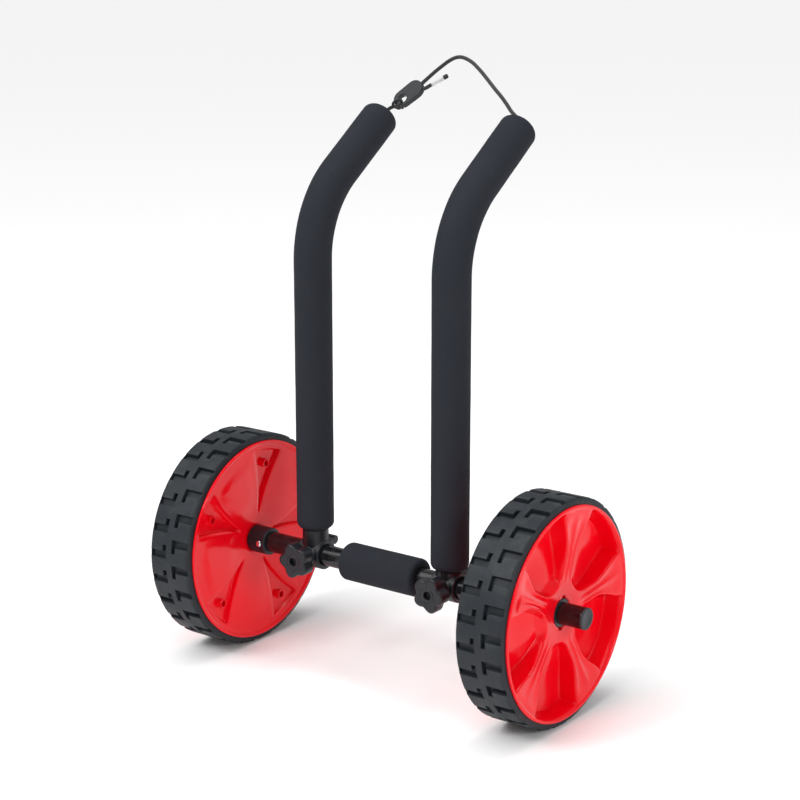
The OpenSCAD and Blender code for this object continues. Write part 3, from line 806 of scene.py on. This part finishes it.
def inner_face(r, t):
    """Height of the inner moulding's front: a dish with one V-shaped hollow for each screw and a
    soft petal between the hollows."""
    size = np.abs(t)
    hollow = smooth((WALL_EDGE - size) / (WALL_EDGE - SPOKE_EDGE))
    opened = smooth((r - 30 * MM) / (8 * MM)) * (1 - smooth((r - 109 * MM) / (3 * MM)))
    petal = smooth((size - 0.55) / 0.3) * smooth((r - 30 * MM) / (25 * MM)) * (1 - smooth((r - 90 * MM) / (14 * MM)))
    return cone(r, WHEEL_HALF_W - 3 * MM) - 5 * MM * hollow * opened + 1.8 * MM * petal


def inner_shell(side):
    """The inner moulding, whose hollows open evenly from the hub to the rim."""
    s = sizes()
    t, sector = sector_columns(s.spokes, HALF_SECTOR)
    rows = MM * np.concatenate(
        [np.linspace(22.8, 40, 14), np.linspace(42, 107, 27), np.linspace(108, 114, 11), [116, 117.5, 118.5, 119.2, 120]]
    )
    radius = np.repeat(rows[:, None], len(t), 1)
    inner = math.radians(11.5) * np.clip((radius - 28 * MM) / (78 * MM), 0.03, 1)
    angle = sector_angle(t[None], sector[None], s.spokes, inner, 1.5 * MM / radius)
    face = rim_rise(inner_face(radius, t[None]), radius, 117 * MM, 119.8 * MM, WHEEL_HALF_W)
    hub_z = WHEEL_HALF_W - s.hub_sink
    bore = AXLE_R + 2.1 * MM
    hub = [(bore, 0.0), (bore, hub_z - 0.5 * MM), (bore + 0.5 * MM, hub_z), (s.hub_r - 1 * MM, hub_z)]
    return moulding(side, radius, angle, face, hub, -1)


def screw_places(side):
    """Each wheel screw's axis: a point in the wheel's middle plane, and the way to the inside."""
    s = sizes()
    out = wheel_axes(side)[3]
    ring = span(f"{side}_wheel_screws")[2] / 2
    for i in range(s.spokes):
        angle = np.array(2 * math.pi * i / s.spokes)
        yield on_wheel(side, np.array(93 * MM), angle, np.array(0.0)), -out


def drilled(piece, cutters):
    """Cuts closed shapes out of a piece with an exact boolean."""
    vertices, faces = cutters
    mesh = bpy.data.meshes.new("cutter")
    mesh.from_pydata(vertices.tolist(), [], faces.tolist())
    tidy_mesh(mesh)
    tool = bpy.data.objects.new("cutter", mesh)
    bpy.context.scene.collection.objects.link(tool)
    cut = piece.modifiers.new("holes", "BOOLEAN")
    cut.operation, cut.solver, cut.object = "DIFFERENCE", "EXACT", tool
    before = piece.data
    piece.data = evaluated_mesh(piece)
    piece.data.name = piece.name
    piece.modifiers.clear()
    bpy.data.meshes.remove(before)
    bpy.data.objects.remove(tool)
    bpy.data.meshes.remove(mesh)


# Breaks of one tread period, in millimetres from the middle of a groove of the outer row
def tread_columns(period):
    """Columns of one tread period: a pair at each groove wall of either row."""
    slot, leg = 4.2 * MM, 12 * MM
    breaks = np.array([-slot, slot, leg, period / 2 - leg, period / 2 - slot, period / 2 + slot])
    pairs = np.concatenate([breaks - 0.35 * MM, breaks + 0.35 * MM, [0.0, 0.7 * period, 0.82 * period]])
    return np.unique(np.round(pairs % period, 7))


def tread_groove(u, w, period):
    """1 in the grooves, 0 on the blocks: a slot across each row, with a short leg along the middle
    rib, the rows half a period apart and their legs the opposite ways."""
    row = np.sign(w)
    shifted = np.where(row > 0, u, u - period / 2)
    near = (shifted + period / 2) % period - period / 2
    ahead = near * np.where(row > 0, 1, -1)
    soft = 0.7 * MM

    def between(value, low, high):
        return np.clip((value - low) / soft + 0.5, 0, 1) * np.clip((high - value) / soft + 0.5, 0, 1)

    size = np.abs(w)
    slot = between(near, -4.2 * MM, 4.2 * MM) * between(size, 4.5 * MM, 28.2 * MM)
    leg = between(ahead, -4.2 * MM, 12 * MM) * between(size, 4.5 * MM, 9.5 * MM)
    return np.maximum(slot, leg)


def tyre_shape(side):
    """The solid tyre: a flat tread with grooved blocks, round shoulders, and its seat in the rim."""
    s = sizes()
    period = 2 * math.pi * TYRE_R / s.blocks
    u = (np.arange(s.blocks)[:, None] * period + tread_columns(period)[None]).ravel()
    half = TYRE_W / 2
    flat = half - 4 * MM
    edges = MM * np.array([4.15, 4.85, 6.5, 9.15, 9.85, 12, 16, 20, 24])
    turn = np.radians(np.linspace(0, 90, 8))
    shoulder = flat + 4 * MM * np.sin(turn)
    w = np.concatenate([edges, shoulder])
    w = np.concatenate([-w[::-1], [-2 * MM, 2 * MM], w])
    crown = TYRE_R - 6.5 * MM * (1 - np.sqrt(np.clip(1 - ((np.abs(w) - flat).clip(0) / (4 * MM)) ** 2, 0, 1)))
    radius = crown[:, None] - s.groove * tread_groove(u[None], w[:, None], period)
    seat = np.full((1, len(u)), s.seat_r)
    radius = np.concatenate([seat, radius, seat])
    heights = np.concatenate([w[:1], w, w[-1:]])
    angle = np.broadcast_to(u / TYRE_R, radius.shape)
    return surface(
        on_wheel(side, radius, angle, np.broadcast_to(heights[:, None], radius.shape)), wrap_rows=True
    )


def make_wheel_shells():
    """Both mouldings of each wheel and the screw bosses in the inner one."""
    s = sizes()
    for side in SIDES:
        body = f"{side}_wheel"
        make_piece(
            f"{side}_outer_moulding", outer_shell(side), "wheel", body,
            (f"{side}_outer_wheel_shell",), crease=50,
        )
        inner = make_piece(
            f"{side}_inner_moulding", inner_shell(side), "wheel", body,
            (f"{side}_inner_wheel_shell",), crease=50,
        )
        top = cone(93 * MM, WHEEL_HALF_W - 3 * MM)
        boss = MM * np.array([[4, -11], [5.5, -11], [5.5, 0.4], [5.2, 0.8], [4.3, 0.8], [4, 0.5]]) + [0, top]
        hole = MM * np.array([[0, -14], [4.3, -14], [4.3, 6], [0, 6]]) + [0, top]
        places = list(screw_places(side))
        drilled(inner, joined(*[turned(hole, place, axis, Y, 32) for place, axis in places]))
        dress(inner, "wheel", None, (), crease=50)
        make_piece(
            f"{side}_screw_bosses", joined(*[turned(boss, place, axis, Y, 32) for place, axis in places]),
            "wheel", body,
        )


def make_tyres():
    for side in SIDES:
        make_piece(
            f"{side}_solid_tyre", tyre_shape(side), "tyre", f"{side}_wheel", (f"{side}_tyre",), crease=35
        )


# ---------------------------------------------------------------- arms and foam


def arm_line(side, along):
    """Points and directions on an arm's middle line, at the given lengths from the axle: straight
    up, round the bend, and out along the tail."""
    s = sizes()
    along = np.asarray(along, float)
    angle = np.clip((along - s.straight) / s.bend_r, 0, s.bend)
    tail = np.maximum(along - s.straight - s.bend_r * s.bend, 0)
    points = np.zeros((len(along), 3))
    points[:, 0] = ARM_X[side]
    points[:, 1] = AXLE[1] + s.bend_r * (1 - np.cos(angle)) + tail * np.sin(angle)
    points[:, 2] = AXLE[2] + np.minimum(along, s.straight) + s.bend_r * np.sin(angle) + tail * np.cos(angle)
    return points, np.stack([0 * angle, np.sin(angle), np.cos(angle)], 1)


def arm_length():
    s = sizes()
    return s.straight + s.bend_r * s.bend + s.tail


def arm_sleeve(side, along, radii, steps=64):
    """Rings of the given radii at the given lengths along an arm, as a closed ring of rows."""
    centre, ahead = arm_line(side, along)
    back = np.cross(X, ahead)
    angle = np.linspace(0, 2 * math.pi, steps, endpoint=False)
    ring = np.cos(angle)[None, :, None] * X + np.sin(angle)[None, :, None] * back[:, None]
    return surface(centre[:, None] + np.asarray(radii)[:, None, None] * ring, wrap_rows=True)


def rounded_sleeve(low, high, outer, bore, rounding, step):
    """(lengths, radii) round a thick sleeve's wall: up the outside with round ends, down the bore."""
    curve = arc((0, 0), rounding, 0, 90, 9)
    first = np.stack([low + rounding - curve[:, 1], outer - rounding + curve[:, 0]], 1)[::-1]
    last = np.stack([high - rounding + curve[:, 1], outer - rounding + curve[:, 0]], 1)
    count = max(int((high - low) / step), 2)
    body = np.linspace(low + rounding, high - rounding, count)[1:-1]
    outside = np.stack([body, np.full(len(body), outer)], 1)
    lip = 1.2 * MM
    inside = np.stack([np.linspace(high - lip, low + lip, count), np.full(count, bore)], 1)
    chamfer = np.array([[high, bore + lip], [high - lip * 0.3, bore + 0.3 * lip]])
    foot = np.array([[low + lip * 0.3, bore + 0.3 * lip], [low, bore + lip]])
    return np.concatenate([first, outside, last, chamfer, inside, foot]).T


def make_foam():
    """The foam sleeves of the arms and the foam pad of the axle."""
    s = sizes()
    for side in SIDES:
        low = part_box(f"{side}_arm_foam")[0].z - AXLE[2]
        outer = span(f"{side}_arm_foam")[0] / 2
        along, radii = rounded_sleeve(low, arm_length(), outer, AXLE_R, s.foam_round, 5 * MM)
        uneven = 0.04 * MM * (np.sin(along * 61) + np.sin(along * 143 + 1.3)) * (radii > outer * 0.9)
        sleeve = make_piece(
            f"{side}_foam_sleeve", arm_sleeve(side, along, radii + uneven), "foam", f"{side}_arm",
            (f"{side}_arm_foam",), crease=60,
        )
    long, outer = span("axle_pad")[0] / 2, span("axle_pad")[2] / 2
    along, radii = rounded_sleeve(-long, long, outer, AXLE_R, 5 * MM, 4 * MM)
    pad = make_piece(
        "axle_foam_pad", turned(np.stack([radii, along], 1), middle("axle_pad"), X, Y, 72), "foam",
        "root", ("axle_pad",), crease=60,
    )


def make_arm_tubes():
    """The arm tubes and the plugs in their ends."""
    for side in SIDES:
        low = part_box(f"{side}_arm_tube")[0].z - AXLE[2]
        high = arm_length() - 5 * MM
        along, radii = rounded_sleeve(low, high, AXLE_R - 0.02 * MM, AXLE_R - 1.5 * MM, 0.6 * MM, 8 * MM)
        make_piece(
            f"{side}_bent_tube", arm_sleeve(side, along, radii), "tube", f"{side}_arm",
            (f"{side}_arm_tube",), crease=35,
        )
        centre, ahead = arm_line(side, [arm_length()])
        cord_r = sizes().cord_d / 2
        plug = MM * np.array([[11.0, -21], [11.0, -5.2], [12.3, -5], [12.3, -3.9], [11.9, -3.5]])
        mouth = np.array([[cord_r + 1.2 * MM, -3.5 * MM], [cord_r + 0.1 * MM, -4.4 * MM], [cord_r + 0.1 * MM, -21 * MM]])
        make_piece(
            f"{side}_tube_plug", turned(np.concatenate([plug, mouth]), centre[0], ahead[0], X, 48), "black",
            f"{side}_arm", (f"{side}_arm_plug",),
        )


# ---------------------------------------------------------------- axle


def make_axle():
    """The axle tube, the sleeves' collars, the end plugs and the release buttons."""
    half = span("axle_tube")[0] / 2
    edge = 0.5 * MM
    bore = AXLE_R - 2 * MM
    tube = [
        (bore, -half + edge), (bore + edge, -half), (AXLE_R - edge, -half), (AXLE_R, -half + edge),
        (AXLE_R, half - edge), (AXLE_R - edge, half), (bore + edge, half), (bore, half - edge),
    ]
    make_piece(
        "axle_bar", turned(tube, AXLE, X, Y, 96), "tube", "root", ("axle_tube",), crease=35
    )
    for side in SIDES:
        out = wheel_axes(side)[3]
        low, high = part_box(f"{side}_hub_sleeve")
        near, far = sorted((abs(low.x), abs(high.x)))
        collar_r, sleeve_r = (high.z - low.z) / 2, AXLE_R + 2 * MM
        face = abs(WHEEL_X[side]) - (WHEEL_HALF_W - sizes().hub_sink) - 0.4 * MM
        big, small = 1.2 * MM, 0.3 * MM
        profile = np.concatenate([
            [(AXLE_R, near + small), (AXLE_R + small, near)],
            arc((collar_r - big, near + big), big, -90, 0, 6),
            arc((collar_r - big, face - big), big, 0, 90, 6),
            [(sleeve_r, face), (sleeve_r, far - 2 * MM), (sleeve_r + 1.5 * MM, far - 2 * MM),
             (sleeve_r + 1.6 * MM, far - 1.8 * MM), (sleeve_r + 1.1 * MM, far), (AXLE_R, far)],
        ])
        make_piece(
            f"{side}_sleeve_collar", turned(profile, AXLE * [0, 1, 1], out, Y, 96), "black", "root",
            (f"{side}_hub_sleeve",),
        )
        low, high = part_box(f"{side}_end_plug")
        end = max(abs(low.x), abs(high.x))
        cap = np.concatenate([
            [(0.0, end - 0.5 * MM), (0.62 * AXLE_R, end - 0.5 * MM), (0.68 * AXLE_R, end - 0.1 * MM)],
            arc((AXLE_R - 1.2 * MM, end - 1.2 * MM), 1.2 * MM, 90, 0, 6),
            [(AXLE_R, end - 2 * MM), (bore, end - 2 * MM), (bore, end - 20 * MM), (0.0, end - 20 * MM)],
        ])
        make_piece(
            f"{side}_axle_cap", turned(cap, AXLE * [0, 1, 1], out, Y, 72), "plug", "root",
            (f"{side}_end_plug",),
        )


# ---------------------------------------------------------------- clamps and knobs


def star_radius(angle, inner, outer):
    """Outline of a five-lobed knob: broad round lobes and narrower hollows."""
    return inner + (outer - inner) * (0.5 + 0.5 * np.cos(5 * angle)) ** 0.75


def knob_shape(side):
    """A star knob, lobes all round, with dished face, raised ring and the socket in its middle."""
    low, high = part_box(f"{side}_knob")
    outer = (high.x - low.x) / 2 * 0.99
    thick = high.y - low.y
    face, back = low.y, high.y
    angle = np.linspace(0, 2 * math.pi, 160, endpoint=False)
    first = math.radians(-3 if side == "right" else 183)
    star = star_radius(angle - first, 16.3 * MM, outer)
    rows = []

    def at(share, inset, depth):
        """A row between a circle (share 0) and the star (share 1), set in by inset."""
        rows.append((share * (star - inset), depth))

    def circle(radius, depth):
        rows.append((np.full_like(angle, radius), depth))

    circle(0.0, thick)
    circle(4.0 * MM, thick)
    circle(9 * MM, thick)
    at(1, 1.2 * MM, thick)
    for a in np.radians([0, 30, 60, 90]):
        at(1, 1.0 * MM * (1 - np.sin(a)), thick - 1.0 * MM * (1 - np.cos(a)))
    for a in np.radians([0, 18, 36, 54, 72, 90]):
        at(1, 2.6 * MM * (1 - np.cos(a)), 2.4 * MM * (1 - np.sin(a)))
    at(0.92, 2.6 * MM, -0.15 * MM)
    for share in (0.8, 0.66):
        at(share, 2.6 * MM, 0.2 * MM)
    circle(9.2 * MM, 0.5 * MM)
    for radius, depth in ((8.2, 0.5), (7.9, 0.1), (7.6, -0.1), (5.6, -0.1), (5.1, 0.2), (5.0, 0.7), (5.0, 6.2), (4.6, 6.4)):
        circle(radius * MM, depth * MM)
    circle(0.0, 6.4 * MM)
    radius = np.array([row[0] for row in rows])
    depth = np.array([row[1] for row in rows])
    centre = middle(f"{side}_knob")
    points = np.zeros((*radius.shape, 3))
    points[..., 0] = ARM_X[side] + radius * np.cos(angle)
    points[..., 1] = face + depth[:, None]
    points[..., 2] = AXLE[2] + radius * np.sin(angle)
    return surface(points, wrap_rows=True)


def make_knobs():
    for side in SIDES:
        make_piece(
            f"{side}_star_knob", knob_shape(side), "black", f"{side}_knob_body",
            (f"{side}_knob",), crease=50,
        )


def make_clamps():
    """The clamp halves, with soft moulded corners and a fine seam between them."""
    for side in SIDES:
        for half in ("outer", "inner"):
            node = f"{side}_clamp_{half}_half"
            piece = softened(f"{side}_{half}_clamp_moulding", [node], 0.65 * MM, 4)
            dress(piece, "black", f"{side}_arm", (node,), crease=0)


# ---------------------------------------------------------------- cords


ARM_END = np.array([0.0, 132.66, 637.84]) * MM


def from_ends(points):
    """Points measured from the height and depth of the arm ends, in metres."""
    return np.array(points) * MM + ARM_END


BUNGEE_ROUTE = from_ends([
    [93, -3, -2], [92.5, 0, 0.5], [90.5, 3, 4], [86, 5.5, 8], [80, 7.5, 11.5],
    [73, 10.5, 15.5], [67, 13.5, 20], [55, 19, 28.5], [42, 24.5, 36.5], [30.5, 30, 43.5],
    [18.5, 35.5, 51], [6.5, 40.5, 58], [-2, 43.5, 62.5], [-10, 46, 65.5], [-17, 47.2, 67.5],
    [-23.5, 47.7, 68.2], [-30, 46.8, 67], [-36.5, 44.5, 63.5], [-44, 39.7, 57], [-50.5, 35, 50.5],
    [-56, 31, 44.5], [-60, 28, 40],
])
TAIL_ROUTE = from_ends([
    [-58, 21.5, 31], [-54.5, 22.5, 32.5], [-49, 24.5, 36], [-43, 27, 40], [-37, 29.5, 43.5], [-31, 32, 47],
])
NECK_ROUTE = from_ends([[-102, -3, -2], [-100, 0, 2], [-95, 4, 7], [-89, 5.5, 10]])
KNOT_AT = from_ends([[-83, 7, 11]])[0]
STUB_END = from_ends([[-76, 6, 9.5]])[0]
HOOK_LEAN = math.radians(35)
LEVEL = np.array([0.0, 1.0, -1.0])


def cord_piece(name, path, radius, finish, body, replaces=(), steps=16, level=LEVEL, closed=False):
    """A round cord along a path, with round ends, or joined end to end. Its own map holds the
    length along it and the turn round it, for the weave."""
    path = np.asarray(path, float)
    length = np.concatenate([[0], np.cumsum(np.linalg.norm(np.diff(path, axis=0), axis=1))])
    rings = swept(path, np.full(len(path), radius), level, steps)
    if not closed:
        turn = np.radians([90, 72, 54, 36, 18])
        ahead = path[0] - path[1]
        ahead /= np.linalg.norm(ahead)
        start = [path[0] + ahead * radius * 0.5 * np.sin(a) + (rings[0] - path[0]) * np.cos(a) for a in turn]
        ahead = path[-1] - path[-2]
        ahead /= np.linalg.norm(ahead)
        end = [path[-1] + ahead * radius * 0.5 * np.sin(a) + (rings[-1] - path[-1]) * np.cos(a) for a in turn[::-1]]
        rings = np.concatenate([start, rings, end])
        length = np.concatenate([np.zeros(5), length, np.full(5, length[-1])])
    vertices, faces = surface(rings, wrap_rows=closed)
    mesh = bpy.data.meshes.new(name)
    mesh.from_pydata(vertices.tolist(), [], faces.tolist())
    row, col = faces // steps, faces % steps
    along = length[row]
    along[:, 2:] = np.where(row[:, 2:] < row[:, :1], along[:, :1] + radius, along[:, 2:])
    around = np.where(np.arange(4)[None] % 3 == 0, col, col[:, :1] + 1) / steps
    mesh.uv_layers.new(name="cord_map").data.foreach_set("uv", np.stack([along, around], 2).ravel())
    tidy_mesh(mesh)
    piece = bpy.data.objects.new(name, mesh)
    bpy.context.scene.collection.objects.link(piece)
    return dress(piece, finish, body, replaces, crease=70)


def make_bungee():
    """The shock cord from the right arm's plug to the hook. It stretches as the arms part."""
    s = sizes()
    inside = from_ends([[-64, 24.5, 35]])
    path, length = spline(np.concatenate([BUNGEE_ROUTE, inside]), 130)
    cord = cord_piece("shock_cord", path, s.cord_d / 2, "cord", None, ("bungee_cord",))
    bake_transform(cord)


def make_tail():
    """The spare end past the hook, in its clear sleeve, with a dark tip."""
    s = sizes()
    path, length = spline(TAIL_ROUTE, 40)
    tail = cord_piece("spare_end", path, s.cord_d / 2, "cord", "left_arm", ("cord_tail",))
    part = path[15:35]
    ahead = np.gradient(part, axis=0)
    outer = swept(part, np.full(len(part), s.cord_d / 2 + 0.9 * MM), LEVEL)
    inner = swept(part, np.full(len(part), s.cord_d / 2 + 0.08 * MM), LEVEL)
    sleeve = make_piece(
        "shrunk_sleeve", surface(np.concatenate([outer, inner[::-1]]), wrap_rows=True), "clear", "left_arm",
        ("tail_sleeve",), crease=50,
    )
    tip = cord_piece("moulded_tip", path[35:], s.cord_d / 2 + 0.5 * MM, "black", "left_arm")


def hook_plane(x, z):
    """A point in the leaning plane of the hook, x to the side and z up the lean."""
    return ARM_END + x * X + z * np.array([0.0, math.sin(HOOK_LEAN), math.cos(HOOK_LEAN)])


def make_left_loop():
    """The left arm's short cord: neck, knot, and the ring round the hook's nose."""
    s = sizes()
    radius = s.cord_d / 2
    neck, _ = spline(np.concatenate([NECK_ROUTE, [KNOT_AT]]), 40)
    cord_piece("loop_neck", neck, radius * 0.95, "cord", "left_arm", ("left_loop",))
    t = np.linspace(0, 2 * math.pi, 72, endpoint=False)
    trefoil = np.stack([np.sin(t) + 2 * np.sin(2 * t), np.cos(t) - 2 * np.cos(2 * t), -1.5 * np.sin(3 * t)], 1)
    axis = STUB_END - neck[-12]
    axis /= np.linalg.norm(axis)
    side = np.cross(axis, Z)
    side /= np.linalg.norm(side)
    frame_of = np.stack([side, np.cross(axis, side), axis])
    knot = KNOT_AT + (trefoil * [1.15, 1.15, 1.4]) @ frame_of * MM
    knot_ring(knot, radius * 0.85)
    stub, _ = spline([KNOT_AT, 0.5 * (KNOT_AT + STUB_END) + 0.4 * MM * Z, STUB_END], 16)
    cord_piece("loop_stub", stub, radius * 0.88, "cord", "left_arm")
    turn = math.radians(49)
    nose = -22 * MM
    centre = hook_plane(-72 * MM + nose * math.cos(turn), 33 * MM + nose * math.sin(turn))
    across = np.array([0.0, math.cos(HOOK_LEAN), -math.sin(HOOK_LEAN)])
    inward = hook_plane(math.cos(turn), math.sin(turn)) - ARM_END
    ring = centre + 5.6 * MM * (np.cos(t)[:, None] * inward + np.sin(t)[:, None] * across)
    knot_ring(ring, 1.7 * MM, "loop_ring")


def knot_ring(path, radius, name="loop_knot"):
    """A closed cord along a ring of points, with frames carried at right angles to the middle."""
    steps = 14
    ahead = np.roll(path, -1, 0) - np.roll(path, 1, 0)
    ahead /= np.linalg.norm(ahead, axis=1)[:, None]
    out = path - path.mean(0)
    out -= (out * ahead).sum(1)[:, None] * ahead
    out /= np.linalg.norm(out, axis=1)[:, None]
    beside = np.cross(ahead, out)
    angle = np.linspace(0, 2 * math.pi, steps, endpoint=False)
    rings = path[:, None] + radius * (
        np.cos(angle)[None, :, None] * out[:, None] + np.sin(angle)[None, :, None] * beside[:, None]
    )
    vertices, faces = surface(rings, wrap_rows=True)
    mesh = bpy.data.meshes.new(name)
    mesh.from_pydata(vertices.tolist(), [], faces.tolist())
    size = np.linalg.norm(np.roll(path, -1, 0) - path, axis=1)
    length = np.concatenate([[0], np.cumsum(size)])
    row, col = faces // steps, faces % steps
    along = length[np.where(np.arange(4)[None] >= 2, row[:, :1] + 1, row[:, :1])]
    around = np.where(np.arange(4)[None] % 3 == 0, col[:, :1], col[:, :1] + 1) / steps
    mesh.uv_layers.new(name="cord_map").data.foreach_set("uv", np.stack([along, around], 2).ravel())
    tidy_mesh(mesh)
    piece = bpy.data.objects.new(name, mesh)
    bpy.context.scene.collection.objects.link(piece)
    return dress(piece, "cord", "left_arm", (), crease=70)


def make_hook():
    """The moulded hook, its edges rounded like a moulding's."""
    piece = softened("cord_hook_moulding", ["cord_hook"], 0.4 * MM, 6)
    dress(piece, "black", "left_arm", ("cord_hook",), crease=0)


# ---------------------------------------------------------------- what stays from the model


SLOT_FINISH = {
    "black_tube": "tube", "foam": "foam", "cord": "cord", "black_plastic": "black", "grey_plastic": "plug",
    "clear_sleeve": "clear", "bright_steel": "steel", "brass": "brass", "red_plastic": "wheel", "tyre": "tyre",
}


def paint_model():
    """Every engineering node gets the finish of its material slot."""
    for part in frame["record"]["subparts"]:
        node = frame["nodes"][part["node"]]
        node.data.materials.clear()
        node.data.materials.append(FINISH[SLOT_FINISH[part["material_slot"]]])


# ---------------------------------------------------------------- stage


def area_light(name, place, target, size, power, colour=(1, 1, 1)):
    light = bpy.data.lights.new(name, "AREA")
    light.shape, light.size, light.energy, light.color = "DISK", size, power, colour
    lamp = bpy.data.objects.new(name, light)
    bpy.context.scene.collection.objects.link(lamp)
    aim(lamp, place, target)
    return lamp


def aim(obj, place, target):
    """Puts a lamp or camera at a place and turns it to the target."""
    place, target = np.array(place), np.array(target)
    back = place - target
    back /= np.linalg.norm(back)
    right = np.cross(Z, back)
    right /= np.linalg.norm(right)
    up = np.cross(back, right)
    matrix = np.eye(4)
    matrix[:3, 0], matrix[:3, 1], matrix[:3, 2], matrix[:3, 3] = right, up, back, place
    obj.matrix_world = Matrix(matrix.tolist())


def make_stage():
    """Camera, wide floor, soft lights and a white world."""
    scene = bpy.context.scene
    scene.view_settings.view_transform = "Standard"
    lens = bpy.data.cameras.new("camera")
    lens.lens, lens.sensor_width = 92.25, 36
    camera = bpy.data.objects.new("camera", lens)
    scene.collection.objects.link(camera)
    turn, rise = math.radians(36.53), math.radians(14.5)
    back = np.array([math.sin(turn) * math.cos(rise), -math.cos(turn) * math.cos(rise), math.sin(rise)])
    target = np.array([22.65, 0, 336.87]) * MM
    aim(camera, target + 2.32 * back, target)
    scene.camera = camera

    corner = np.array([-40.0, 40.0])
    points = np.stack(np.broadcast_arrays(corner[:, None], corner[None], 0.0), 2)
    vertices, faces = surface(points, wrap_cols=False)
    mesh = bpy.data.meshes.new("studio_floor")
    mesh.from_pydata(vertices.tolist(), [], faces.tolist())
    floor = bpy.data.objects.new("studio_floor", mesh)
    scene.collection.objects.link(floor)
    mesh.polygons.foreach_set("use_smooth", np.ones(len(mesh.polygons), bool))
    mesh.materials.append(FINISH["floor"])

    world = bpy.data.worlds.new("studio")
    world.use_nodes = True
    world.node_tree.nodes["Background"].inputs[0].default_value = (1, 1, 1, 1)
    world.node_tree.nodes["Background"].inputs[1].default_value = 0.5
    scene.world = world
    centre = np.array([0.0, 0.0, 0.35])
    sun = bpy.data.lights.new("sky", "SUN")
    sun.energy, sun.angle = 1.65, math.radians(60)
    sky = bpy.data.objects.new("sky", sun)
    scene.collection.objects.link(sky)
    aim(sky, (-0.7, -1.1, 2.6), (0, 0, 0))
    area_light("key", (-0.9, -2.2, 2.4), centre, 0.9, 26)
    area_light("side", (2.6, -0.8, 1.4), centre, 0.8, 20)
    area_light("top", (0.2, 0.6, 3.0), centre, 1.2, 18)


# ---------------------------------------------------------------- operators and panel


class CartStep(bpy.types.Operator):
    """One step of making the cart."""

    bl_idname = "cart.step"
    bl_label = "Step"
    bl_options = {"REGISTER", "UNDO"}

    def execute(self, context):
        self.make()
        return {"FINISHED"}


def step(idname, label, text, *actions):
    """An operator class for some actions, in order."""

    def make(self):
        for action in actions:
            action()

    name = "CART_OT_" + idname.split(".")[1]
    return type(name, (CartStep,), {"bl_idname": idname, "bl_label": label, "__doc__": text, "make": make})


STEPS = (
    step("cart.finishes", "Finishes", "Makes the shader groups and materials", build_finishes, paint_model),
    step("cart.stage", "Stage", "Makes the camera, floor and lights", make_stage),
    step("cart.cords", "Cords", "Makes the shock cord, its spare end and the loop", make_bungee, make_tail, make_left_loop),
    step("cart.hook", "Hook", "Makes the hook", make_hook),
    step("cart.foam", "Foam", "Makes the foam sleeves and the axle pad", make_foam),
    step("cart.wheels", "Wheels", "Makes the wheel mouldings", make_wheel_shells),
    step("cart.tyres", "Tyres", "Makes the solid tyres", make_tyres),
    step("cart.axle", "Axle", "Makes the axle, its collars and plugs", make_axle),
    step("cart.clamps", "Clamps", "Makes the clamp halves", make_clamps),
    step("cart.knobs", "Knobs", "Makes the star knobs", make_knobs),
    step("cart.arms", "Arms", "Makes the arm tubes and their plugs", make_arm_tubes),
)


class CART_PT_panel(bpy.types.Panel):
    """Lists the cart's sizes, colours and steps."""

    bl_label = "Beach Cart"
    bl_idname = "CART_PT_panel"
    bl_space_type = "VIEW_3D"
    bl_region_type = "UI"
    bl_category = "Beach Cart"

    def draw(self, context):
        layout = self.layout
        for group in (context.scene.cart_sizes, context.scene.cart_colours):
            box = layout.box()
            for key in type(group).__annotations__:
                box.prop(group, key)
        for one in STEPS:
            layout.operator(one.bl_idname)


CLASSES = (CartSizes, CartColours, *STEPS, CART_PT_panel)


def register():
    for one in CLASSES:
        bpy.utils.register_class(one)
    bpy.types.Scene.cart_sizes = bpy.props.PointerProperty(type=CartSizes)
    bpy.types.Scene.cart_colours = bpy.props.PointerProperty(type=CartColours)


def unregister():
    del bpy.types.Scene.cart_colours
    del bpy.types.Scene.cart_sizes
    for one in reversed(CLASSES):
        bpy.utils.unregister_class(one)


def main():
    """Makes the whole cart in order and writes the two boxes."""
    register()
    for one in STEPS:
        area, name = one.bl_idname.split(".")
        getattr(getattr(bpy.ops, area), name)()


if __name__ == "__main__":
    main()
